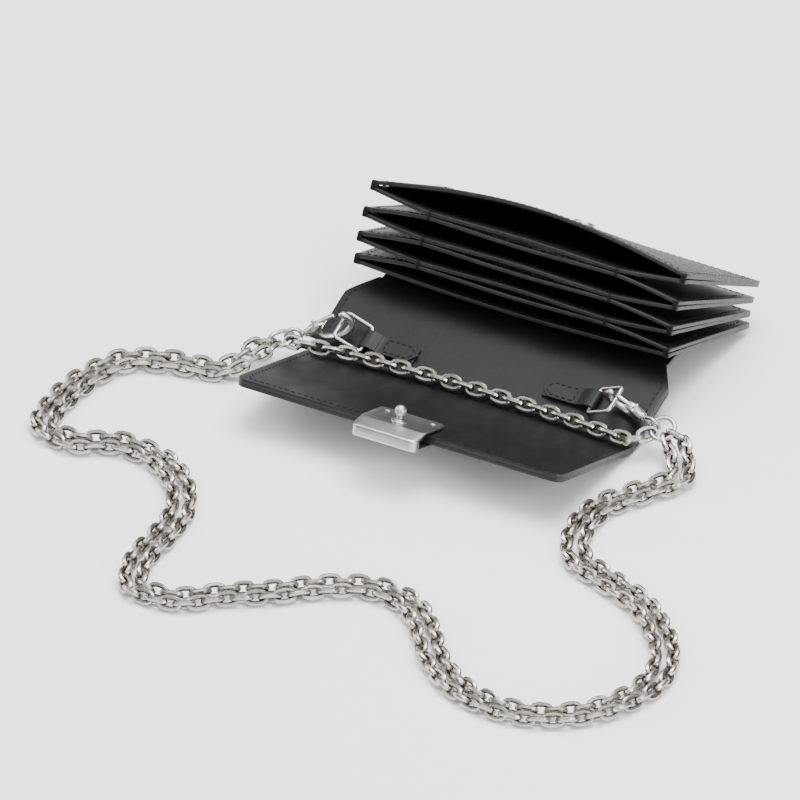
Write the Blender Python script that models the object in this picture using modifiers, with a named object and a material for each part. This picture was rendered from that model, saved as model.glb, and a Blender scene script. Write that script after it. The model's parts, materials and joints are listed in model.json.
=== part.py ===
"""Chain wallet: a folded leather spine and flap, a four-pocket accordion, and a chain on two clasps.

The model is laid out from the fold line: X runs along the fold, Y points from the flap to the
pockets, Z is up. At the end the whole layout is moved so that the world origin is at the bottom
centre of the leather body.
"""
import math

import bmesh
import bpy
from mathutils import Matrix, Vector

MM = 0.001

# Clearances
GAP = 0.3 * MM                      # between pieces that touch
PIN_CLEARANCE = 0.3 * MM            # radial, round pin in its hole
CUT_OVERRUN = 2 * MM                # how far a cutter runs past the face it opens

# Leather body
FLAP_WIDTH = 158 * MM
FLAP_LENGTH = 68 * MM
FLAP_TILT = math.radians(18.8)
FLAP_CORNER = 5 * MM
SKIN = 1.3 * MM                     # outer and lining leather
STIFFENER = 0.4 * MM
STIFFENER_INSET = 5 * MM
FLAP_FOLD_MARGIN = 2.6 * MM         # from the fold axis to the flap layers
FOLD_RADIUS = 1.8 * MM

# Spine: (distance behind the fold, height) of its middle surface, then the tongue under the pockets
SPINE_CORNER_Y = 32 * MM
SPINE_CORNER_Z = 12 * MM
SPINE_CREST_Y = 60 * MM
SPINE_SWELL = 1 * MM
TONGUE_HALF_WIDTH = 70 * MM
CHAMFER_LENGTH = 14 * MM

# Pockets
POCKET_WIDTH = 154 * MM
POCKET_DEPTH = 76.5 * MM
POCKET_COUNT = 4
LEAF = 1.8 * MM
FAN_BASE = math.radians(20.1)       # tilt of the lowest pocket
FAN_STEP = math.radians(3.6)        # extra tilt of each pocket above it
FAR_Y = 107.5 * MM                  # far end of the lowest pocket
FAR_STACK_GAP = 1.5 * MM            # between neighbouring pockets at their far ends
FAR_SHIFT = 0.95 * MM               # the far ends step back as the square of the pocket's number
MARK_X = 46 * MM                    # stitch that joins two neighbouring pockets
MARK_FORWARD = 1.6 * MM
MARK_UP = 1.4 * MM
CARD_SLOT = 1.6 * MM                # extra room between two joined leaves, mid-way between the marks
END_CURVE = 1.25                    # how the leaves part between the mark and the pocket's end
FRONT_BOW = 9 * MM
REAR_BOW = 2.4 * MM
LEAF_COLUMNS = 28
LEAF_ROWS = 3

# Clasp on the flap's front edge
CLASP_WIDTH = 31 * MM
CLASP_DEPTH = 28 * MM
CLASP_OVERHANG = 13 * MM            # in front of the flap's edge
CLASP_WALL = 1.6 * MM
CLASP_BEVEL = 0.8 * MM
FLAP_TONGUE_WIDTH = 26 * MM
STUD_BALL = 2.65 * MM
STUD_NECK = 1.4 * MM
STUD_NECK_HEIGHT = 1.5 * MM
STUD_COLLAR = 3.5 * MM
STUD_COLLAR_HEIGHT = 0.7 * MM
RIVET_X = 11 * MM
RIVET_FROM_BACK = 3.2 * MM
RIVET_SHANK = 0.8 * MM
RIVET_HEAD = 1.6 * MM
RIVET_HEAD_HEIGHT = 0.6 * MM
SOCKET_ALONG = 0.72                 # share of the pocket's depth from its mouth
SOCKET_RADIUS = 6 * MM
SOCKET_HEIGHT = 1.5 * MM
SOCKET_PLATE = 0.6 * MM

# Tabs and D-rings
TAB_LENGTH = 25 * MM
TAB_WIDTH = 9 * MM
TAB_THICKNESS = 4 * MM
D_WIRE = 0.95 * MM
D_LENGTH = 13 * MM                  # from bar to bar
D_WIDTH = 13.6 * MM                 # along the bars, between wire centres
D_CORNER = 2 * MM
D_LIFT = math.radians(28)
TAB_LEFT = (-56 * MM, 11 * MM)      # the D-ring's inner bar: along the fold, behind the fold
TAB_RIGHT = (53 * MM, 15 * MM)

# Lobster clasps: x runs from the eye's end to the hook's nose
HOOK_HALF_LENGTH = 11 * MM
HOOK_HALF_WIDTH = 6.8 * MM
HOOK_INNER_LENGTH = 8.1 * MM
HOOK_INNER_WIDTH = 4.2 * MM
HOOK_THICKNESS = 4 * MM
HOOK_PLAY = 2.2 * MM                # between the D-ring's bar and the nose
HEEL_END = math.radians(600)        # the hook's band runs from its nose, round the back, to its heel
NOSE_END = math.radians(298)
GATE_START = math.radians(216)
GATE_PIVOT = math.radians(226)
GATE_END = math.radians(287)
GATE_SLOT_LENGTH = 6.0 * MM
GATE_SLOT_DEPTH = 5.4 * MM
GATE_THICKNESS = 1.8 * MM
GATE_PIN = 0.5 * MM
STEM_RADIUS = 0.9 * MM
STEM_HEAD = 1.25 * MM
STEM_HEAD_LENGTH = 1.0 * MM
STEM_HEAD_SETBACK = 1.0 * MM
EYE_RADIUS = 3.4 * MM
EYE_WIRE = 0.9 * MM
EYE_NECK = 1.6 * MM

NOSE_LEFT = (0.80, 0.55, 0.22)      # direction from eye to nose
FACE_LEFT = (-0.45, 0.88, 0.05)      # direction that the flat side faces
NOSE_RIGHT = (-0.95, 0.18, 0.16)
FACE_RIGHT = (0, -0.85, -0.5)

RING_RADIUS = 5.3 * MM
RING_WIRE = 1.0 * MM

# Chain
CHAIN_DIAMETER = 6.8 * MM
STRAND_SPACING = 7.4 * MM
CHAIN_STEP = 3.1                    # tube points, in diameters
ON_THE_CHAIN = ("chain_long", "chain_short", "ring_", "lobster_")
# Middle line of the two long strands, from the left ring to the right ring, in mm from the fold
LONG_ROUTE = (
    (-93, -16.5, 7.2), (-95, -24.5, 4.8), (-99.6, -30.2, 1.8), (-113.6, -34.2, 1.8), (-129.6, -39.2, 1.8),
    (-144.6, -48.2, 1.8), (-150.6, -67.2, 1.8), (-151.6, -91.2, 1.8), (-147.6, -107.2, 1.8),
    (-136.6, -114.2, 1.8), (-121.6, -106.2, 1.8), (-103.6, -103.2, 1.8), (-87.6, -109.2, 1.8),
    (-71.6, -123.2, 1.8), (-63.6, -141.2, 1.8), (-61.6, -162.2, 1.8), (-60.6, -180.2, 1.8),
    (-55.6, -193.2, 1.8), (-44.6, -199.2, 1.8), (-31.6, -196.2, 1.8), (-18.6, -185.2, 1.8),
    (-0.6, -173.2, 1.8), (15.4, -159.2, 1.8), (34.4, -149.2, 1.8), (49.4, -149.2, 1.8),
    (64.4, -159.2, 1.8), (77.4, -174.2, 1.8), (91.4, -189.2, 1.8), (111.4, -200.2, 1.8),
    (132.4, -202.2, 1.8), (152.4, -195.2, 1.8), (167.4, -177.2, 1.8), (173.4, -156.2, 1.8),
    (169.4, -136.2, 1.8), (155.4, -117.2, 1.8), (135.4, -101.2, 1.8), (116.4, -94.2, 1.8),
    (101.4, -87.2, 1.8), (93, -77, 1.8), (89, -58, 1.8), (91, -42, 1.8), (99, -29, 1.8),
    (107, -16, 1.8), (106, -3, 6), (97.5, 4, 7.5),
)
SHORT_ROUTE = (
    (-78, -9, 9.4), (-66, -5, 8.3), (-50, -2, 7.3), (-25, 0, 6.8), (0, 0.5, 6.7),
    (25, 0.2, 6.8), (48, -1, 7.1), (66, -3, 7.8), (79, -4, 8.4),
)


def clear_scene():
    for item in list(bpy.data.objects):
        bpy.data.objects.remove(item)


def collection(name):
    group = bpy.data.collections.new(name)
    bpy.context.scene.collection.children.link(group)
    return group


clear_scene()
PARTS = collection("chain_wallet")
CUTTERS = collection("cutters")
LAYOUT = bpy.data.objects.new("layout", None)
PARTS.objects.link(LAYOUT)
MATERIALS = {}


def material(name, colour, roughness, metallic=0.0):
    made = bpy.data.materials.new(name)
    made.use_nodes = True
    shader = made.node_tree.nodes["Principled BSDF"]
    shader.inputs["Base Color"].default_value = (*colour, 1.0)
    shader.inputs["Roughness"].default_value = roughness
    shader.inputs["Metallic"].default_value = metallic
    return made


def finish(item, colour, roughness, metallic=0.0, parent=LAYOUT):
    item.data.materials.clear()
    item.data.materials.append(material(item.name, colour, roughness, metallic))
    item.parent = parent
    return item


BLACK_LEATHER = ((0.018, 0.018, 0.02), 0.45)
GRAINED_LEATHER = ((0.028, 0.028, 0.03), 0.5)
NICKEL = ((0.62, 0.61, 0.58), 0.32, 1.0)
STEEL = ((0.55, 0.53, 0.5), 0.28, 1.0)


def new_object(name, mesh):
    item = bpy.data.objects.new(name, mesh)
    PARTS.objects.link(item)
    return item


def mesh_object(name, shape, smooth_angle=None):
    mesh = bpy.data.meshes.new(name)
    bmesh.ops.recalc_face_normals(shape, faces=shape.faces)
    shape.to_mesh(mesh)
    shape.free()
    if smooth_angle is not None:
        mesh.shade_smooth()
        mesh.set_sharp_from_angle(angle=smooth_angle)
    return new_object(name, mesh)


def make_cutter(item):
    PARTS.objects.unlink(item)
    CUTTERS.objects.link(item)
    item.hide_render = True
    item.display_type = "WIRE"
    item.parent = LAYOUT
    return item


def add_solidify(item, thickness):
    solid = item.modifiers.new("thickness", "SOLIDIFY")
    solid.thickness = thickness
    solid.offset = 0
    solid.use_even_offset = True


def add_boolean(item, other, operation="DIFFERENCE"):
    cut = item.modifiers.new(operation.lower(), "BOOLEAN")
    cut.object = other
    cut.operation = operation


def bent_sheet(name, place, thickness, columns, rows):
    """A sheet whose point at (across, along), both 0 to 1, is place(across, along)."""
    shape = bmesh.new()
    bmesh.ops.create_grid(shape, x_segments=columns, y_segments=rows, size=1)
    for vertex in shape.verts:
        vertex.co = place((vertex.co.x + 1) / 2, (vertex.co.y + 1) / 2)
    item = mesh_object(name, shape, math.radians(40))
    add_solidify(item, thickness)
    return item


def outline_object(name, outline, thickness, holes=()):
    """A flat outline in XY with round holes, given its thickness evenly above and below."""
    curve = bpy.data.curves.new(name, "CURVE")
    curve.dimensions = "2D"
    curve.fill_mode = "BOTH"
    curve.extrude = thickness / 2
    loops = [outline] + [circle(x, y, radius) for x, y, radius in holes]
    for loop in loops:
        spline = curve.splines.new("POLY")
        spline.points.add(len(loop) - 1)
        for point, (x, y) in zip(spline.points, loop):
            point.co = (x, y, 0, 1)
        spline.use_cyclic_u = True
    return to_mesh(new_object(name, curve))


def to_mesh(item):
    """The curve's evaluated solid, with its caps welded on."""
    name = item.name
    depsgraph = bpy.context.evaluated_depsgraph_get()
    mesh = bpy.data.meshes.new_from_object(item.evaluated_get(depsgraph))
    matrix = item.matrix_world.copy()
    bpy.data.objects.remove(item)
    shape = bmesh.new()
    shape.from_mesh(mesh)
    bmesh.ops.remove_doubles(shape, verts=shape.verts, dist=0.001 * MM)
    bmesh.ops.recalc_face_normals(shape, faces=shape.faces)
    shape.to_mesh(mesh)
    shape.free()
    solid = new_object(name, mesh)
    solid.matrix_world = matrix
    return solid


def circle(x, y, radius, steps=16):
    angles = [2 * math.pi * step / steps for step in range(steps)]
    return [(x + radius * math.cos(angle), y + radius * math.sin(angle)) for angle in angles]


def arc(x, y, radius_x, radius_y, start, end, steps):
    """Points of an ellipse's arc, both ends included."""
    angles = [start + (end - start) * step / steps for step in range(steps + 1)]
    return [(x + radius_x * math.cos(a), y + radius_y * math.sin(a)) for a in angles]


def rounded_rectangle(half_x, half_y, radius, steps=5):
    corners = ((1, 1, 0), (-1, 1, 90), (-1, -1, 180), (1, -1, 270))
    points = []
    for sign_x, sign_y, degrees in corners:
        start = math.radians(degrees)
        centre_x = sign_x * (half_x - radius)
        centre_y = sign_y * (half_y - radius)
        points += arc(centre_x, centre_y, radius, radius, start, start + math.pi / 2, steps)
    return points


def turned(name, profile, steps=20):
    """A profile of (radius, height) points, listed down its outer side, turned about Z."""
    mesh = bpy.data.meshes.new(name)
    shape = bmesh.new()
    points = [shape.verts.new((radius, 0, height)) for radius, height in profile]
    for first, second in zip(points, points[1:]):
        shape.edges.new((first, second))
    if profile[0][0] > 0:
        shape.edges.new((points[-1], points[0]))
    shape.to_mesh(mesh)
    shape.free()
    item = new_object(name, mesh)
    screw = item.modifiers.new("turn", "SCREW")
    screw.axis = "Z"
    screw.steps = steps
    screw.render_steps = steps
    screw.use_merge_vertices = True
    screw.merge_threshold = 0.002 * MM
    screw.use_smooth_shade = True
    return item


def box_object(name, size, centre=(0, 0, 0)):
    shape = bmesh.new()
    scale = Matrix.Diagonal((*size, 1))
    bmesh.ops.create_cube(shape, size=1, matrix=Matrix.Translation(centre) @ scale)
    return mesh_object(name, shape)


def rod_object(name, radius, length, matrix, steps=16):
    """A cylinder along its own Z."""
    shape = bmesh.new()
    bmesh.ops.create_cone(shape, cap_ends=True, segments=steps, radius1=radius, radius2=radius,
                          depth=length, matrix=matrix)
    return mesh_object(name, shape, math.radians(40))


def torus_mesh(name, major, minor, major_steps, minor_steps):
    bpy.ops.mesh.primitive_torus_add(major_radius=major, minor_radius=minor,
                                     major_segments=major_steps, minor_segments=minor_steps)
    item = bpy.context.object
    for group in list(item.users_collection):
        group.objects.unlink(item)
    PARTS.objects.link(item)
    item.name = name
    item.data.shade_smooth()
    return item


def tube(name, points, radius, cyclic=False, resolution=2):
    curve = bpy.data.curves.new(name, "CURVE")
    curve.dimensions = "3D"
    curve.bevel_depth = radius
    curve.bevel_resolution = resolution
    curve.use_fill_caps = not cyclic
    spline = curve.splines.new("POLY")
    spline.points.add(len(points) - 1)
    for point, place in zip(spline.points, points):
        point.co = (*place, 1)
        point.radius = 1
    spline.use_cyclic_u = cyclic
    return new_object(name, curve)


def frame_matrix(origin, x_axis, z_hint):
    """Axes with X along x_axis and Z as near z_hint as that allows."""
    x_axis = Vector(x_axis).normalized()
    y_axis = Vector(z_hint).cross(x_axis).normalized()
    z_axis = x_axis.cross(y_axis)
    matrix = Matrix((x_axis, y_axis, z_axis)).transposed().to_4x4()
    matrix.translation = origin
    return matrix


# Side-view directions of a leaf that rises by tilt towards its mouth
def towards_mouth(tilt):
    return Vector((0, -math.cos(tilt), math.sin(tilt)))


def above(tilt):
    return Vector((0, math.sin(tilt), math.cos(tilt)))


PAIR = LEAF + GAP
FLAP_THICKNESS = 2 * SKIN + STIFFENER + 2 * GAP
FLOOR = -FOLD_RADIUS
FAR_Z = FLOOR + 1.5 * LEAF + GAP + PAIR / 2
FAR_PITCH = 2 * LEAF + GAP + FAR_STACK_GAP


def pocket_tilt(level):
    """Level 0 is the lowest pocket."""
    return FAN_BASE + FAN_STEP * level


def far_end(level):
    return Vector((0, FAR_Y + FAR_SHIFT * level ** 2, FAR_Z + FAR_PITCH * level))


def mouth_end(level):
    return far_end(level) + POCKET_DEPTH * towards_mouth(pocket_tilt(level))


def mark_point(level):
    """Where the pocket at this level is stitched to the one above it."""
    middle = (mouth_end(level) + mouth_end(level + 1)) / 2
    return middle + Vector((0, -MARK_FORWARD, MARK_UP))


def mark_share(x):
    """1 between the stitch marks, falling to 0 at the pocket's ends."""
    outside = max(0.0, abs(x) - MARK_X) / (POCKET_WIDTH / 2 - MARK_X)
    return 1 - outside ** END_CURVE


def slot_bulge(x):
    inside = min(1.0, abs(x) / MARK_X)
    return CARD_SLOT / 2 * math.cos(inside * math.pi / 2) ** 2


def leaf_place(level, side):
    """Place function of one leaf: side is 1 for a pocket's upper leaf, -1 for its lower leaf."""
    tilt = pocket_tilt(level)
    normal = above(tilt)
    far = far_end(level) + side * PAIR / 2 * normal

    def mouth(x):
        end = mouth_end(level) + side * PAIR / 2 * normal
        bow = math.cos(math.pi * x / POCKET_WIDTH)
        if side > 0 and level == POCKET_COUNT - 1:
            return end + FRONT_BOW * bow * normal
        if side < 0 and level == 0:
            return end - REAR_BOW * bow * normal
        joined = mark_point(level if side > 0 else level - 1)
        joined = joined - side * (PAIR / 2 + slot_bulge(x)) * normal
        return end.lerp(joined, mark_share(x))

    def place(across, along):
        x = (across - 0.5) * POCKET_WIDTH
        point = mouth(x).lerp(far, along)
        point.x = x
        return point

    return place


def make_pockets():
    for level in range(POCKET_COUNT):
        number = POCKET_COUNT - level
        for side, word in ((1, "upper"), (-1, "lower")):
            name = f"pocket_{number}_{word}"
            leaf = bent_sheet(name, leaf_place(level, side), LEAF, LEAF_COLUMNS, LEAF_ROWS)
            finish(leaf, *(GRAINED_LEATHER if (number, side) == (1, 1) else BLACK_LEATHER))


make_pockets()


SPINE_TILT = math.atan2(SPINE_CORNER_Z, SPINE_CORNER_Y)
LAYER_RISE = (FLAP_THICKNESS - SKIN) / 2        # from a panel's middle to the middle of its skins
SPINE_CREST_Z = FAR_Z + (FAR_Y - SPINE_CREST_Y) * math.tan(FAN_BASE) - REAR_BOW - PAIR - LEAF


def smooth_point(points, share):
    """The point at share, 0 to 1, of a smooth curve through the points."""
    spans = len(points) - 1
    index = min(int(share * spans), spans - 1)
    t = share * spans - index
    before = points[index - 1] if index > 0 else 2 * points[0] - points[1]
    after = points[index + 2] if index + 2 <= spans else 2 * points[-1] - points[-2]
    start, end = points[index], points[index + 1]
    return 0.5 * (2 * start + (end - before) * t + (2 * before - 5 * start + 4 * end - after) * t ** 2
                  + (3 * start - before - 3 * end + after) * t ** 3)


def spine_route(offset, has_tongue):
    """Side view of a skin of the spine, offset from the middle surface, from fold to tongue."""
    rise = Vector((0, math.cos(SPINE_TILT), math.sin(SPINE_TILT)))
    normal = Vector((0, -math.sin(SPINE_TILT), math.cos(SPINE_TILT)))
    reach = math.hypot(SPINE_CORNER_Y, SPINE_CORNER_Z)
    shift = offset * normal
    route = [distance * rise + shift for distance in (FLAP_FOLD_MARGIN, reach / 2, reach)]
    crest = Vector((0, SPINE_CREST_Y, SPINE_CREST_Z + offset + LAYER_RISE))
    route.append(route[-1].lerp(crest, 0.5) + Vector((0, 0, SPINE_SWELL)))
    if has_tongue:
        foot = Vector((0, FAR_Y, FLOOR + SKIN / 2))
        route += [crest, crest.lerp(foot, 0.5), foot]
    return route


def spine_half_width(y):
    share = min(1.0, max(0.0, (y - SPINE_CORNER_Y) / CHAMFER_LENGTH))
    return FLAP_WIDTH / 2 + (TONGUE_HALF_WIDTH - FLAP_WIDTH / 2) * share


def make_spine():
    for name, offset, has_tongue in (("spine_outer", -LAYER_RISE, True), ("spine_lining", LAYER_RISE, False)):
        route = spine_route(offset, has_tongue)

        def place(across, along, route=route):
            point = smooth_point(route, along)
            point.x = (2 * across - 1) * spine_half_width(point.y)
            return point

        finish(bent_sheet(name, place, SKIN, 8, 6 * (len(route) - 1)), *BLACK_LEATHER)

    def fold_place(across, along):
        angle = -math.pi / 2 + (2 * along - 1) * math.radians(58)
        radius = FOLD_RADIUS - SKIN / 2
        return Vector(((across - 0.5) * FLAP_WIDTH, radius * math.cos(angle), radius * math.sin(angle)))

    finish(bent_sheet("fold_strip", fold_place, SKIN, 2, 8), *BLACK_LEATHER)


FLAP_AXIS = bpy.data.objects.new("flap_axis", None)
PARTS.objects.link(FLAP_AXIS)
FLAP_AXIS.parent = LAYOUT
FLAP_AXIS.matrix_local = frame_matrix((0, 0, 0), (-1, 0, 0), above(FLAP_TILT))

CLASP_FRONT = FLAP_LENGTH + CLASP_OVERHANG
CLASP_BACK = CLASP_FRONT - CLASP_DEPTH
CLASP_HEIGHT = FLAP_THICKNESS + 2 * GAP + 2 * CLASP_WALL
RIVET_Y = CLASP_BACK + RIVET_FROM_BACK
RIVET_HOLE = RIVET_SHANK + PIN_CLEARANCE


def on_flap(item, z=0.0):
    item.location = (0, 0, z)
    return item


def flap_outline(inset, with_tongue):
    half = FLAP_WIDTH / 2 - inset
    front = FLAP_LENGTH - inset
    radius = FLAP_CORNER
    outline = [(-half, FLAP_FOLD_MARGIN + inset), (half, FLAP_FOLD_MARGIN + inset)]
    outline += arc(half - radius, front - radius, radius, radius, 0, math.pi / 2, 5)
    if with_tongue:
        side = FLAP_TONGUE_WIDTH / 2
        tip = CLASP_FRONT - CLASP_WALL - GAP
        outline += [(side, front), (side, tip), (-side, tip), (-side, front)]
    outline += arc(radius - half, front - radius, radius, radius, math.pi / 2, math.pi, 5)
    return outline


def make_flap():
    holes = [(sign * RIVET_X, RIVET_Y, RIVET_HOLE) for sign in (-1, 1)]
    for name, z in (("flap_outer", -LAYER_RISE), ("flap_lining", LAYER_RISE)):
        skin = outline_object(name, flap_outline(0, True), SKIN, holes)
        finish(on_flap(skin, z), *BLACK_LEATHER, parent=FLAP_AXIS)
    board = outline_object("flap_stiffener", flap_outline(STIFFENER_INSET, False), STIFFENER, holes)
    finish(on_flap(board), (0.2, 0.17, 0.13), 0.8, parent=FLAP_AXIS)


def make_clasp():
    middle = (CLASP_FRONT + CLASP_BACK) / 2
    cap = box_object("clasp_cap", (CLASP_WIDTH, CLASP_DEPTH, CLASP_HEIGHT), (0, middle, 0))
    rounding = cap.modifiers.new("edges", "BEVEL")
    rounding.width = CLASP_BEVEL
    rounding.segments = 2
    slot_back = CLASP_BACK - CUT_OVERRUN
    slot_front = CLASP_FRONT - CLASP_WALL
    slot = box_object("clasp_slot", (2 * CLASP_WIDTH, slot_front - slot_back, FLAP_THICKNESS + 2 * GAP),
                      (0, (slot_back + slot_front) / 2, 0))
    cutters = [make_cutter(slot)]
    for sign in (-1, 1):
        matrix = Matrix.Translation((sign * RIVET_X, RIVET_Y, 0))
        cutters.append(make_cutter(rod_object("rivet_hole", RIVET_HOLE, 2 * CLASP_HEIGHT, matrix)))
    matrix = Matrix.Translation((0, middle, CLASP_HEIGHT / 2))
    cutters.append(make_cutter(rod_object("stud_hole", STUD_NECK + PIN_CLEARANCE, 2 * CLASP_WALL + GAP,
                                          matrix)))
    for cutter in cutters:
        cutter.parent = FLAP_AXIS
        add_boolean(cap, cutter)
    finish(cap, *NICKEL, parent=FLAP_AXIS)

    stud = turned("clasp_stud", stud_profile())
    finish(stud, *NICKEL, parent=FLAP_AXIS)
    stud.location = (0, middle, CLASP_HEIGHT / 2 + GAP)
    for sign, word in ((-1, "left"), (1, "right")):
        rivet = turned(f"clasp_rivet_{word}", rivet_profile(), 14)
        finish(rivet, *STEEL, parent=FLAP_AXIS)
        rivet.location = (-sign * RIVET_X, RIVET_Y, 0)


def stud_profile():
    """Ball, neck, collar and the shank that passes into the cap, from the top down."""
    neck_top = STUD_COLLAR_HEIGHT + STUD_NECK_HEIGHT
    drop = math.asin(STUD_NECK / STUD_BALL)
    ball = neck_top + STUD_BALL * math.cos(drop)
    angles = [(math.pi - drop) * step / 8 for step in range(9)]
    profile = [(STUD_BALL * math.sin(angle), ball + STUD_BALL * math.cos(angle)) for angle in angles]
    profile += [(STUD_NECK, STUD_COLLAR_HEIGHT), (STUD_COLLAR, STUD_COLLAR_HEIGHT), (STUD_COLLAR, 0),
                (STUD_NECK, 0), (STUD_NECK, -CLASP_WALL), (0, -CLASP_WALL)]
    return profile


def rivet_profile():
    under = CLASP_HEIGHT / 2 + GAP
    top = under + RIVET_HEAD_HEIGHT
    upper = [(0, top), (0.7 * RIVET_HEAD, top), (RIVET_HEAD, under + RIVET_HEAD_HEIGHT / 3),
             (RIVET_HEAD, under), (RIVET_SHANK, under)]
    return upper + [(radius, -height) for radius, height in reversed(upper)]


def make_socket():
    """Snap socket on the outside of the front pocket panel."""
    level = POCKET_COUNT - 1
    place = leaf_place(level, 1)
    centre = place(0.5, SOCKET_ALONG)
    along = (place(0.5, SOCKET_ALONG - 0.05) - centre).normalized()
    across = Vector((1, 0, 0))
    inner = STUD_BALL + GAP
    outer = 0.8 * SOCKET_RADIUS
    profile = [(inner, SOCKET_HEIGHT), (outer, SOCKET_HEIGHT), (outer, SOCKET_PLATE),
               (SOCKET_RADIUS, SOCKET_PLATE), (SOCKET_RADIUS, 0), (inner, 0)]
    socket = turned("snap_socket", profile, 20)
    finish(socket, *NICKEL)
    matrix = frame_matrix(centre, across, along.cross(across))
    normal = matrix.to_3x3() @ Vector((0, 0, 1))
    matrix.translation = centre + (LEAF / 2 + 2 * GAP) * normal
    socket.matrix_local = matrix


make_spine()
make_flap()
make_clasp()
make_socket()


def spine_matrix(x, y, height):
    """Axes on the spine's upper face: X along the fold, Z out of the face."""
    normal = Vector((0, -math.sin(SPINE_TILT), math.cos(SPINE_TILT)))
    on_face = Vector((x, y, y * math.tan(SPINE_TILT)))
    return frame_matrix(on_face + (FLAP_THICKNESS / 2 + height) * normal, (1, 0, 0), normal)


def empty(name, matrix, parent=LAYOUT):
    axis = bpy.data.objects.new(name, None)
    PARTS.objects.link(axis)
    axis.parent = parent
    axis.matrix_local = matrix
    return axis


def make_tab_and_ring(word, sign, x, y):
    """The D-ring's inner bar lies in the tab's loop; sign is the side the D-ring points to."""
    bar = spine_matrix(x, y, GAP + TAB_THICKNESS / 2)
    loop = TAB_THICKNESS / 2
    outline = arc(0, 0, loop, loop, -math.pi / 2, math.pi / 2, 6)
    outline += [(-TAB_LENGTH, TAB_THICKNESS / 2), (-TAB_LENGTH, -TAB_THICKNESS / 2)]
    tab = outline_object(f"tab_{word}", outline, TAB_WIDTH, [(0, 0, D_WIRE + PIN_CLEARANCE)])
    finish(tab, *BLACK_LEATHER)
    # outline's X runs out to the D-ring, its Y out of the spine, its extrusion along the bar
    turn = Matrix.Rotation(0 if sign > 0 else math.pi, 4, "Z") @ Matrix.Rotation(math.pi / 2, 4, "X")
    tab.matrix_local = bar @ turn

    swing = bar @ Matrix.Rotation(-sign * D_LIFT, 4, "Y")
    axis = empty(f"d_ring_{word}_axis", swing)
    loop_points = rounded_rectangle(D_LENGTH / 2, D_WIDTH / 2, D_CORNER, 4)
    points = [(sign * D_LENGTH / 2 + px, py, 0) for px, py in loop_points]
    ring = tube(f"d_ring_{word}", points, D_WIRE, cyclic=True)
    finish(ring, *STEEL, parent=axis)
    return swing @ Vector((sign * D_LENGTH, 0, 0))


def hook_point(radius_shift, angle, inner=False):
    """A point on the hook's outer or inner oval, moved out by radius_shift."""
    half_x, half_y = (HOOK_INNER_LENGTH, HOOK_INNER_WIDTH) if inner else (HOOK_HALF_LENGTH, HOOK_HALF_WIDTH)
    return ((half_x + radius_shift) * math.cos(angle), (half_y + radius_shift) * math.sin(angle))


def oval_band(start, end, steps, shrink=0.0):
    """The band between the hook's two ovals, from start to end, thinner by shrink on each side."""
    angles = [start + (end - start) * step / steps for step in range(steps + 1)]
    outer = [hook_point(-shrink, angle) for angle in angles]
    inner = [hook_point(shrink, angle, True) for angle in reversed(angles)]
    return outer + inner


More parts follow.
